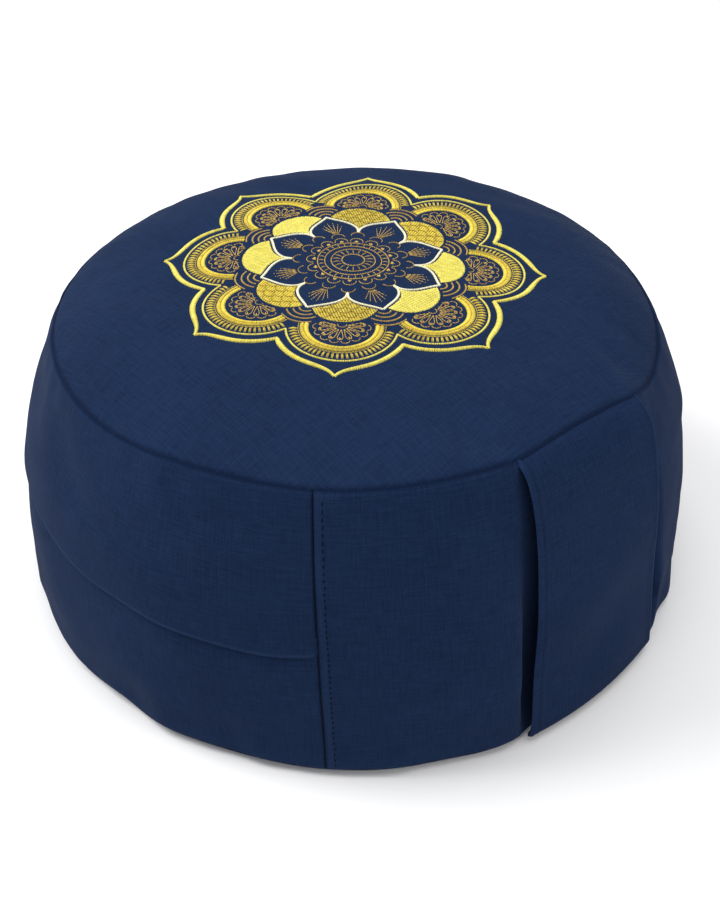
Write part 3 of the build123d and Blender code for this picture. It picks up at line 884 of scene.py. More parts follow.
@dataclass
class Mandala:
    """The eight-fold embroidered motif on the crown."""

    form: Form
    centre: tuple[float, float] = (-0.2, -1.3)
    turn: float = -2.0
    petals: int = 8
    petal_centre: float = 54.2
    petal_tip: float = 87.6
    outline_radius: float = 28.3
    edge_line_radius: float = 23.8
    ladder: tuple[float, float] = (18.7, 22.6)
    arch: tuple[float, float] = (14.3, 17.9)
    leaf_centre: float = 38.3
    leaf_axes: tuple[float, float] = (12.8, 14.3)
    inner_tip: float = 43.4
    inner_valley: float = 28.0
    fan_reach: float = 12.4

    @property
    def step(self) -> float:
        """Angle from one petal to the next, in degrees."""
        return 360.0 / self.petals

    def over(self, x: np.ndarray, y: np.ndarray) -> np.ndarray:
        """Height of the cloth under the motif."""
        return self.form.crown_over(x, y)

    def repeat(self, work: StitchWork, sew: Callable[[StitchWork], None], which: list[int] | None = None,
               offset: float = 0.0) -> None:
        """Sew one petal's stitches and copy them around the motif.

        Args:
            work: Where the stitches go.
            sew: Sews the stitches of the petal that points along +X.
            which: Numbers of the petals to sew, or None for all.
            offset: Further turn in degrees.
        """
        for number in which if which is not None else range(self.petals):
            first = len(work.starts)
            sew(work)
            turn = self.turn + offset + number * self.step
            for ends in (work.starts, work.ends):
                for k in range(first, len(ends)):
                    ends[k] = rotated(ends[k][None], turn)[0] + np.array(self.centre)

    def outline_path(self) -> np.ndarray:
        """Centre line of one petal's pointed outline, from valley to valley."""
        # the circles of two neighbouring petals meet on the line between them
        half = math.radians(self.step / 2)
        reach = self.petal_centre * math.cos(half) + math.sqrt(
            self.outline_radius**2 - (self.petal_centre * math.sin(half)) ** 2
        )
        valley = math.degrees(math.atan2(reach * math.sin(half), reach * math.cos(half) - self.petal_centre))
        round_part = arc((self.petal_centre, 0), self.outline_radius, valley, 27)
        shoulder = round_part[-1]
        way = np.array([math.sin(math.radians(27)), -math.cos(math.radians(27))])
        point = bezier([tuple(shoulder), tuple(shoulder + 6.5 * way),
                        (self.petal_tip - 4.3, 2.5), (self.petal_tip, 0.0)])
        side = np.concatenate([round_part, point[1:]])
        return np.concatenate([side, side[-2::-1] * [1, -1]])

    def sew_outline(self, work: StitchWork) -> None:
        """Satin outline that narrows towards the point."""
        def width(share: np.ndarray) -> np.ndarray:
            """Width along one outline."""
            away = np.abs(share - 0.5) * 2
            return 1.5 + 1.1 * smooth_step(away * 2.6) - 0.5 * smooth_step((away - 0.86) * 8)
        work.satin(self.outline_path(), width, 0.42, 0.75, 0.62)

    def sew_edge_line(self, work: StitchWork) -> None:
        """Thin line around the ladder."""
        work.satin(arc((self.petal_centre, 0), self.edge_line_radius, -83, 83, 80), 1.05, 0.42, 0.5, 0.6)

    def beside_fan(self, point: np.ndarray) -> bool:
        """Whether a point of a petal stays clear of the corner fans and of the petals beside it."""
        half = math.radians(self.step / 2)
        tip = np.array([self.inner_tip * math.cos(half), self.inner_tip * math.sin(half)])
        spot = np.array([point[0], abs(point[1])])
        inside = math.atan2(spot[1], spot[0]) < half - 0.012
        return inside and float(np.linalg.norm(spot - tip)) > self.fan_reach

    def sew_ladder(self, work: StitchWork) -> None:
        """Short satin bars side by side, like the rungs of a ladder."""
        rungs = 37
        for number in range(rungs):
            angle = -100 + 200 * number / (rungs - 1)
            ends = [arc((self.petal_centre, 0), r, angle, angle, 1)[0] for r in self.ladder]
            if not all(self.beside_fan(p) for p in ends):
                continue
            way = (ends[1] - ends[0]) / np.linalg.norm(ends[1] - ends[0])
            side = np.array([-way[1], way[0]])
            for shift in (-0.27, 0.27):
                work.add(ends[0] + side * shift * 0.8, ends[1] + side * shift, 0.55, 0.5, tone=0.45)
        for radius in (self.ladder[0] - 0.1,):
            line = [p for p in arc((self.petal_centre, 0), radius, -100, 100, 140) if self.beside_fan(p)]
            work.run(np.array(line), 1.4, 0.45, 0.35, tone=0.3)

    def sew_arch(self, work: StitchWork) -> None:
        """Broad satin arch of two rows, the inner one lighter."""
        middle = (self.arch[0] + self.arch[1]) / 2
        for radius, tone in (((self.arch[0] + middle) / 2, 0.85), ((self.arch[1] + middle) / 2, 0.5)):
            curve = arc((self.petal_centre, 0), radius, -112, 112, 160)
            path = np.array([point for point in curve if self.beside_fan(point)])
            work.satin(path, 2.05, 0.42, 0.7, tone, 0.1)

    def sew_lace(self, work: StitchWork) -> None:
        """Fan of long loops inside the arch, with a scalloped edge and dots."""
        loops = 9
        for number in range(loops):
            angle = -100 + 200 * number / (loops - 1)
            half = 7.4
            outer = 9.0
            wide = outer * math.sin(math.radians(half))
            left = bezier([(2.6, 0.0), (5.5, -0.6), (outer - 1.5, -wide * 1.25), (outer, -wide)], 10)
            cap = arc((outer, 0), wide, -90, 90, 9)
            loop = np.concatenate([left, cap[1:], (left * [1, -1])[::-1]])
            path = rotated(loop, angle) + np.array([self.petal_centre, 0])
            keep = np.array([p for p in path if self.beside_fan(p) and not self.in_leaf(p, 0.6)])
            if len(keep) > 6:
                work.run(keep, 1.5, 0.5, 0.35, tone=0.55)
            dot = rotated(np.array([[outer + 0.2, -0.35], [outer + 0.2, 0.35]]), angle)
            dot = dot + np.array([self.petal_centre, 0])
            if self.beside_fan(dot[0]) and not self.in_leaf(dot[0], 1.0):
                for shift in (-0.22, 0.22):
                    work.add(dot[0] + shift, dot[1] + shift, 0.55, 0.6, tone=0.95)
        scallops = 8
        for number in range(scallops):
            angle = -87.5 + 175 * number / (scallops - 1)
            middle = arc((self.petal_centre, 0), 10.4, angle, angle, 1)[0]
            bow = arc(tuple(middle), 2.1, angle - 78, angle + 78, 10)
            keep = np.array([p for p in bow if self.beside_fan(p)])
            if len(keep) > 5:
                work.run(keep, 1.3, 0.5, 0.35, tone=0.4)

    def in_leaf(self, point: np.ndarray, grow: float) -> bool:
        """Whether a point is inside the leaf, made larger all round by grow."""
        a, b = self.leaf_axes[0] + grow, self.leaf_axes[1] + grow
        return ((point[0] - self.leaf_centre) / a) ** 2 + (point[1] / b) ** 2 < 1.0

    def sew_leaf_scallops(self, work: StitchWork) -> None:
        """Chain of small half rings around the leaf's outer edge."""
        scallops = 7
        for number in range(scallops):
            angle = math.radians(-66 + 132 * number / (scallops - 1))
            a, b = self.leaf_axes[0] + 2.0, self.leaf_axes[1] + 2.0
            middle = np.array([self.leaf_centre + a * math.cos(angle), b * math.sin(angle)])
            facing = math.degrees(math.atan2(a * math.sin(angle), b * math.cos(angle)))
            bow = arc(tuple(middle), 2.0, facing - 105, facing + 105, 12)
            keep = np.array([p for p in bow if self.beside_fan(p)])
            if len(keep) > 6:
                work.run(keep, 1.2, 0.5, 0.35, tone=0.35)

    def flower_radius(self, angle: float) -> float:
        """Radius of the inner flower's outline at an angle from the petal's axis, in degrees."""
        away = abs((angle + self.step / 2) % self.step - self.step / 2)  # 0 in a valley, 22.5 at a tip
        share = away / (self.step / 2)
        rise = self.inner_tip - self.inner_valley
        return self.inner_valley + rise * (0.87 * share**0.45 + 0.13 * share**6)

    def flower_path(self, grow: float = 0.0) -> np.ndarray:
        """Outline of one inner petal, from valley to valley, about its own axis at +X."""
        turn = np.linspace(-self.step / 2, self.step / 2, 61)
        radius = np.array([self.flower_radius(a - self.step / 2) for a in turn]) + grow
        return np.stack([radius * np.cos(np.radians(turn)), radius * np.sin(np.radians(turn))], 1)

    def sew_inner_petal(self, work: StitchWork) -> None:
        """Narrow satin outline of one inner petal."""
        work.satin(self.flower_path(), 1.25, 0.4, 0.6, 0.7)

    def sew_leaf_fill(self, work: StitchWork, tone: float) -> None:
        """Filled leaf: rows of short stitches in a brick order."""
        pitch, length = 0.42, 3.4
        rows = int(2 * self.leaf_axes[1] / pitch)
        for row in range(rows + 1):
            y = -self.leaf_axes[1] + row * pitch
            inside = max(0.0, 1 - (y / self.leaf_axes[1]) ** 2)
            high = self.leaf_centre + self.leaf_axes[0] * math.sqrt(inside)
            x = 24.0 + (row % 3) * length / 3
            while x < high:
                start, end = x, min(x + length, high)
                x += length
                angle = math.degrees(math.atan2(y, (start + end) / 2))
                gap = self.flower_radius(angle) + 1.5
                low = math.sqrt(max(gap**2 - y**2, 0.0))
                start = max(start, low)
                if end - start > 0.7 and abs(angle) < self.step / 2 - 1.0:
                    work.add((start, y), (end, y), 0.5, 0.45, tone=tone)

    def sew_scales(self, work: StitchWork) -> None:
        """Fish-scale lines over a filled leaf."""
        radius = 2.9
        for row in range(7):
            for column in range(-5, 6):
                middle = (29.0 + row * radius * 1.12, (column + 0.5 * (row % 2)) * 2 * radius)
                bow = arc(middle, radius, -80, 80, 12)
                keep = []
                for p in bow:
                    angle = math.degrees(math.atan2(p[1], p[0]))
                    clear = math.hypot(*p) > self.flower_radius(angle) + 1.8
                    if clear and self.in_leaf(p, -0.4) and abs(angle) < self.step / 2 - 1.2:
                        keep.append(p)
                if len(keep) > 3:
                    work.run(np.array(keep), 1.2, 0.42, 0.3, 0.42, -0.2)

    def sew_fan(self, work: StitchWork) -> None:
        """Nested bows in the corner between two petals, about an inner petal's tip."""
        middle = (self.inner_tip, 0.0)
        for radius, spread in ((3.2, 100), (5.9, 84), (8.7, 66), (11.6, 52)):
            keep = []
            for p in arc(middle, radius, -spread, spread, 40):
                own = rotated(p[None], self.step / 2)[0]
                beside = rotated(p[None], -self.step / 2)[0]
                gaps = [math.hypot(q[0] - self.petal_centre, q[1]) for q in (own, beside)]
                leaves = self.in_leaf(own, 0.8) or self.in_leaf(beside, 0.8)
                if min(gaps) > self.arch[0] - 1.0 and not leaves:
                    keep.append(p)
            if len(keep) > 4:
                work.satin(np.array(keep), 0.85, 0.45, 0.45, 0.5)

    def sew_veins(self, work: StitchWork) -> None:
        """Fine rays that spread in an inner petal."""
        for angle, reach in ((-30, 6.0), (-18, 7.6), (-6, 8.8), (6, 8.8), (18, 7.6), (30, 6.0)):
            ray = np.array([[2.2, 0.0], [2.2 + reach, 0.0]])
            work.run(rotated(ray, angle) + np.array([25.0, 0.0]), 1.9, 0.42, 0.32, tone=0.6)
            tip = rotated(np.array([[2.9 + reach, 0.0], [3.4 + reach, 0.0]]), angle) + np.array([25.0, 0.0])
            work.add(tip[0], tip[1], 0.45, 0.4, tone=0.8)

    def sew_rosette(self, rings: StitchWork, scallops: StitchWork) -> None:
        """Rings, ladders, dots and scallops in the middle of the motif."""
        for radius, width in ((5.2, 0.7), (10.1, 0.6), (13.0, 0.6), (16.3, 0.7)):
            rings.run(arc((0, 0), radius, 0, 360, 90), 1.3, width, 0.4, tone=0.5)
        for low, high, count in ((5.6, 9.8, 18), (13.3, 16.0, 30)):
            for number in range(count):
                spoke = rotated(np.array([[low, 0.0], [high, 0.0]]), 360 * number / count)
                rings.add(spoke[0], spoke[1], 0.5, 0.4, tone=0.45)
        for number in range(2 * self.petals):
            turn = number * self.step / 2
            for shift in (-0.55, 0.0, 0.55):
                dot = rotated(np.array([[17.1, shift], [18.9 - abs(shift), shift]]), turn)
                scallops.add(dot[0], dot[1], 0.6, 0.6, tone=0.98)
            bow = arc((18.4, 0), 3.0, -100, 100, 14)
            scallops.run(rotated(bow, turn), 1.2, 0.5, 0.38, tone=0.45)
            far = 22.9 if number % 2 else 24.6
            disc = arc((far, 0), 3.1, -96, 96, 14)
            scallops.run(rotated(disc, turn), 1.2, 0.5, 0.38, tone=0.4)

    def build(self) -> None:
        """Sew every part of the motif."""
        everywhere = list(range(self.petals))
        scaled = [2, 3, 6, 7]
        plain = [number for number in everywhere if number not in scaled]
        half = self.step / 2
        parts = [
            ("satin_petal_outlines", Thread.LEMON, "embroidery_petal_outlines",
             self.sew_outline, everywhere, 0.0),
            ("satin_edge_lines", Thread.LEMON, "embroidery_petal_edge_lines",
             self.sew_edge_line, everywhere, 0.0),
            ("satin_ladders", Thread.GOLD, "embroidery_petal_ladders", self.sew_ladder, everywhere, 0.0),
            ("satin_arches", Thread.GOLD, "embroidery_petal_arches", self.sew_arch, everywhere, 0.0),
            ("lace_loops", Thread.OCHRE, "embroidery_lace_loops", self.sew_lace_part, everywhere, 0.0),
            ("filled_plain_leaves", Thread.LEMON, "embroidery_plain_leaves",
             lambda work: self.sew_leaf_fill(work, 0.75), plain, 0.0),
            ("filled_scale_leaves", Thread.GOLD, "embroidery_scale_leaves",
             lambda work: self.sew_leaf_fill(work, 0.8), scaled, 0.0),
            ("inner_petal_outlines", Thread.CREAM, "embroidery_inner_petals",
             self.sew_inner_petal, everywhere, half),
            ("petal_veins", Thread.OCHRE, "embroidery_petal_veins", self.sew_veins, everywhere, half),
            ("corner_fans", Thread.OCHRE, "embroidery_corner_fans", self.sew_fan, everywhere, half),
            ("leaf_scale_lines", Thread.GOLD, "embroidery_scale_leaves", self.sew_scales, scaled, 0.0),
        ]
        for seed, (name, thread, node, sew, which, offset) in enumerate(parts, 101):
            work = StitchWork(seed)
            self.repeat(work, sew, which, offset)
            placed(work.mesh(name, self.over, thread), Body.CUSHION, thread.value[0], node)
        rings, scallops = StitchWork(131), StitchWork(132)
        self.sew_rosette(rings, scallops)
        for work in (rings, scallops):
            for ends in (work.starts, work.ends):
                for k, point in enumerate(ends):
                    ends[k] = rotated(point[None], self.turn)[0] + np.array(self.centre)
        placed(rings.mesh("rosette_rings", self.over, Thread.OCHRE), Body.CUSHION, "ochre_thread",
               "embroidery_rosette_rings")
        placed(scallops.mesh("rosette_scallops", self.over, Thread.OCHRE), Body.CUSHION, "ochre_thread",
               "embroidery_rosette_scallops")

    def sew_lace_part(self, work: StitchWork) -> None:
        """Loops of the fan and the scallops of the leaf."""
        self.sew_lace(work)
        self.sew_leaf_scallops(work)


# ---------------------------------------------------------------- cover


@dataclass
class Cover:
    """The canvas cover: crown, base and the two halves of the side wall."""

    form: Form
    canvas: bpy.types.Material
    thickness: float = 0.9
    seam_top: float = 138.0
    zip_half: tuple[float, float] = (-228.0, -48.0)
    mouth: tuple[float, float] = (-224.5, -205.0)
    mouth_height: float = 97.0
    hem: float = 8.0

    # Height of the lap's lower edge around the zip half
    LAP = [
        (-228, 71), (-200, 71), (-160, 70.5), (-128, 70), (-101, 69),
        (-88, 67.4), (-74, 68.2), (-60, 67.7), (-48, 68.6),
    ]

    def crown(self) -> bpy.types.Object:
        """Domed top panel."""
        piece = swept_cloth("cover_top_cloth", (0, 0), (100, 0), 84, 288, (0, 360))
        places = coordinates(piece) / MM
        angle = turned_angles(places, 0)
        share = np.clip(np.hypot(places[:, 0], places[:, 1]) / 100.0, 0, 1)
        share = 1 - (1 - share) ** 1.25  # rows lie closer near the seam
        made = self.form.crown(share, angle)
        move_vertices(piece, made * MM)
        lay_out(piece, made[:, 0], made[:, 1])
        # painted shade darkens the crown's edge where it rolls into the top seam
        mark(piece, "edge_tone_and_painted_light", -np.exp(-(((1 - share) * 140.0 / 0.9) ** 2)))
        face_out(piece, upward)
        finish_cloth(piece, self.thickness, self.canvas)
        return placed(piece, Body.CUSHION, "navy_canvas", "cover_top_panel")

    def base(self) -> bpy.types.Object:
        """Flat round base that turns up to its seam."""
        piece = swept_cloth("cover_base_cloth", (0, 0), (100, 0), 40, 288, (0, 360))
        places = coordinates(piece) / MM
        angle = turned_angles(places, 0)
        share = 1 - (1 - np.clip(np.hypot(places[:, 0], places[:, 1]) / 100.0, 0, 1)) ** 1.3
        edge = self.form.wall(angle, np.full(len(angle), 5.0))
        reach = np.hypot(edge[:, 0], edge[:, 1])
        away = (1 - share) * reach
        z = 0.25 + (edge[:, 2] - 0.25) * smooth_step(1 - away / 9.0) ** 1.5
        made = np.column_stack([edge[:, :2] * share[:, None], z])
        move_vertices(piece, made * MM)
        lay_out(piece, made[:, 0], made[:, 1])
        mark(piece, "edge_tone_and_painted_light", np.exp(-((away - 6) / 6.0) ** 2))
        face_out(piece, downward)
        finish_cloth(piece, self.thickness, self.canvas)
        return placed(piece, Body.CUSHION, "navy_canvas", "cover_bottom_panel")

    def seam_tone_and_painted_shade(self, angle: np.ndarray, height: np.ndarray) -> np.ndarray:
        """Lighter and darker marks beside the wall's seams: lighter on the seam-allowance ridges and just
        above the foot, and painted shade in the seam lines themselves.
        """
        # painted shade in the top and base seam lines
        painted_seam_shade = np.exp(-(((self.seam_top - height) / 0.9) ** 2)) + np.exp(-(((height - 5.0) / 1.2) ** 2))
        foot = np.exp(-(((height - 9.0) / 4.0) ** 2))
        sides = np.zeros_like(height)
        for seam in (self.zip_half[1], self.zip_half[0]):
            across = turned_from(angle, seam) * PER_DEGREE
            # lighter on the pressed seam allowance's ridge, and painted shade in the upright seam line
            ridge = 0.4 * np.exp(-(((across - 2.6) / 1.3) ** 2))
            sides = sides + ridge - 1.2 * np.exp(-((across / 0.5) ** 2))
        return 0.25 * foot + sides - painted_seam_shade

    def plain_wall(self) -> bpy.types.Object:
        """Plain half of the side wall, behind the handle."""
        first, last = self.zip_half[1], self.zip_half[0] + 360.0
        piece = swept_cloth("plain_wall_cloth", (160, 5), (160, 138), 76, 240, (first, last))
        places = coordinates(piece) / MM
        angle = drawn_to_seams(turned_angles(places, (first + last) / 2), first, last)
        height = 5.0 + 133.0 * crowded((places[:, 2] - 5.0) / 133.0)
        move_vertices(piece, self.form.wall(angle, height) * MM)
        lay_out(piece, angle * PER_DEGREE, height)
        mark(piece, "edge_tone_and_painted_light", self.seam_tone_and_painted_shade(angle, height))
        face_out(piece, outward)
        finish_cloth(piece, self.thickness, self.canvas)
        return placed(piece, Body.CUSHION, "navy_canvas", "wall_plain_panel")

    def lap_edge(self, angle: np.ndarray) -> np.ndarray:
        """Height of the lap's lower edge, which rises over the parked slider."""
        edge = through(self.LAP, angle)
        opened = smooth_step((angle - self.mouth[0]) / 2.5) * smooth_step((self.mouth[1] - angle) / 4.0)
        return edge + (self.mouth_height - edge) * opened

    def zip_wall_upper(self) -> bpy.types.Object:
        """Upper part of the zip half, whose hemmed lap hides the zip."""
        first, last = self.zip_half
        piece = swept_cloth("lap_wall_cloth", (160, 0), (160, 100), 70, 240, (first, last))
        places = coordinates(piece) / MM
        angle = drawn_to_seams(turned_angles(places, (first + last) / 2), first, last)
        share = places[:, 2] / 100.0
        edge = self.lap_edge(angle)
        turn_at, under_at = 0.84, 0.90
        height = np.select(
            [share < turn_at, share < under_at],
            [self.seam_top + (edge + 1.0 - self.seam_top) * crowded(np.clip(share / turn_at, 0, 1)),
             edge + 1.0 - np.sin((share - turn_at) / (under_at - turn_at) * math.pi)],
            edge + 1.0 + self.hem * (share - under_at) / (1 - under_at),
        )
        under = smooth_step((share - turn_at) / (under_at - turn_at))
        # the hem's two layers stand a little proud of the wall below it
        proud = 1.0 * np.exp(-(np.maximum(height - edge - 3.0, 0) / 14.0) ** 2)
        # and the lap swells a little over the zip
        proud = proud + 1.1 * np.exp(-(((height - self.form.ZIP_HEIGHT) / 9.0) ** 2))
        ends = smooth_step((angle - first) / 1.2) * smooth_step((last - angle) / 1.2)
        depth = -proud * ends + 1.05 * under
        move_vertices(piece, self.form.wall(angle, height, depth) * MM)
        lay_out(piece, angle * PER_DEGREE, self.seam_top - share * (self.seam_top - edge + self.hem))
        # painted highlight along the lap's folded edge
        painted_fold_highlight = np.exp(-(((height - edge - 1.2) / 0.7) ** 2)) * (share < under_at)
        mark(piece, "edge_tone_and_painted_light", self.seam_tone_and_painted_shade(angle, height) + 0.75 * painted_fold_highlight)
        face_out(piece, outward)
        finish_cloth(piece, self.thickness, self.canvas)
        return placed(piece, Body.CUSHION, "navy_canvas", "wall_zip_panel_upper")

    def zip_wall_lower(self) -> bpy.types.Object:
        """Lower part of the zip half, which runs up behind the lap to the lower tape."""
        first, last = self.zip_half
        piece = swept_cloth("lower_wall_cloth", (160, 0), (160, 100), 56, 240, (first, last))
        places = coordinates(piece) / MM
        angle = drawn_to_seams(turned_angles(places, (first + last) / 2), first, last)
        share = places[:, 2] / 100.0
        edge = np.minimum(through(self.LAP, angle), 81.5)
        bend_at = 0.8
        height = np.where(
            share < bend_at, 5.0 + (edge - 7.0) * crowded(np.clip(share / bend_at, 0, 1)),
            edge - 2.0 + (86.2 - edge + 2.0) * (share - bend_at) / (1 - bend_at),
        )
        sink = smooth_step((share - bend_at + 0.02) / (1 - bend_at))
        near_lap = np.exp(-((np.maximum(edge - height, 0) / 6.0) ** 2))
        ends = smooth_step((angle - first) / 1.2) * smooth_step((last - angle) / 1.2)
        depth = (3.6 * sink + 0.7 * near_lap) * ends
        move_vertices(piece, self.form.wall(angle, height, depth) * MM)
        lay_out(piece, angle * PER_DEGREE, height)
        mark(piece, "edge_tone_and_painted_light", self.seam_tone_and_painted_shade(angle, np.where(share < bend_at, height, 60.0)))
        face_out(piece, outward)
        finish_cloth(piece, self.thickness, self.canvas)
        return placed(piece, Body.CUSHION, "navy_canvas", "wall_zip_panel_lower")

    def topstitching(self) -> bpy.types.Object:
        """Row of stitches beside each upright seam, through the wall."""
        found, tones = [], []
        draw = np.random.default_rng(55)
        along, side, up = STITCH_POINTS.T
        for seam in (self.zip_half[1] + 1.5, self.zip_half[0] + 360.0 + 1.5):
            for low in np.arange(8.0, 134.0, HEM_PITCH):
                angle = seam + draw.normal(0, 0.03) + side * HEM_THREAD / PER_DEGREE
                found.append(self.form.wall(angle, low + along * HEM_STITCH, -(0.28 * up + 0.02)))
                tones.append(draw.uniform(0.2, 0.8))
        piece = stitch_piece("wall_topstitching", np.concatenate(found), tones, Thread.NAVY)
        return placed(piece, Body.CUSHION, "navy_thread", "wall_seam_stitching")

    def build(self) -> None:
        """Make every panel of the cover."""
        self.crown()
        self.base()
        self.plain_wall()
        self.zip_wall_upper()
        self.zip_wall_lower()
        self.topstitching()


# ---------------------------------------------------------------- inside


@dataclass
class Inside:
    """The inner bag of calico and the husks in it."""

    calico: bpy.types.Material
    husk: bpy.types.Material
    bag_inset: float = 2.6
    husk_inset: float = 3.9
    pocket: tuple[float, float] = (72.0, 101.0)
    pocket_depth: float = 6.4

    def layer(self, name: str, inset: float, columns: int, rough: float) -> bpy.types.Object:
        """Closed stuffed skin at a depth under the cover.

        Args:
            name: Name of the piece.
            inset: Depth under the cover's face.
            columns: Steps around.
            rough: Height of the small lumps, in millimetres.

        Returns:
            The closed mesh object.
        """
        form = Form(inset=inset)
        piece = swept_cloth(name, (160, 0), (160, 300), 110, columns, (0, 360))
        places = coordinates(piece) / MM
        angle = turned_angles(places, 0)
        share = places[:, 2] / 300.0
        foot_at, top_at = 0.3, 0.65
        wall_share = np.clip((share - foot_at) / (top_at - foot_at), 0, 1)
        height = 5.0 + 133.0 * wall_share
        zip_side = turned_angles(places, -138.0)
        sunk = (
            smooth_step((height - self.pocket[0] + 5) / 5) * smooth_step((self.pocket[1] + 5 - height) / 5)
            * smooth_step((zip_side + 227.5) / 3) * smooth_step((-48.5 - zip_side) / 3)
        )
        wall = form.wall(angle, height, sunk * self.pocket_depth)
        made = wall.copy()
        crown_share = np.clip((1 - share) / (1 - top_at), 0, 1)
        over = share > top_at
        made[over] = form.crown(crown_share[over], angle[over])
        below = share < foot_at
        base_share = 1 - (1 - np.clip(share / foot_at, 0, 1)) ** 1.3
        rise = smooth_step(1 - (1 - base_share) * 160 / 12) ** 1.5
        made[below, :2] = wall[below, :2] * base_share[below, None]
        made[below, 2] = inset + (wall[below, 2] - inset) * rise[below]
        lumps = Unevenness(77, 9.0, 24).at(made) * rough
        middle = np.array([0, 0, 75.0])
        way = (made - middle) / np.maximum(np.linalg.norm(made - middle, axis=1), 1e-6)[:, None]
        made = made - way * (np.abs(lumps))[:, None]
        move_vertices(piece, made * MM)
        make_active(piece)
        bpy.ops.object.mode_set(mode="EDIT")
        bpy.ops.mesh.select_all(action="SELECT")
        bpy.ops.mesh.remove_doubles(threshold=0.02 * MM)
        bpy.ops.mesh.select_all(action="SELECT")
        bpy.ops.mesh.normals_make_consistent(inside=False)
        bpy.ops.object.mode_set(mode="OBJECT")
        return piece

    def build(self) -> None:
        """Make the bag and its filling."""
        bag = self.layer("inner_bag", self.bag_inset, 200, 0.0)
        places = coordinates(bag) / MM
        lay_out(bag, np.degrees(np.arctan2(places[:, 1], places[:, 0])) * PER_DEGREE, places[:, 2])
        finish_cloth(bag, 0.5, self.calico)
        placed(bag, Body.CUSHION, "liner_calico", "liner_top_panel", "liner_wall_panel", "liner_bottom_panel")
        mass = self.layer("husk_mass", self.husk_inset, 240, 0.9)
        make_active(mass)
        bpy.ops.object.shade_smooth()
        mass.data.materials.append(self.husk)
        placed(mass, Body.CUSHION, "husk", "husk_filling")


# ---------------------------------------------------------------- handle


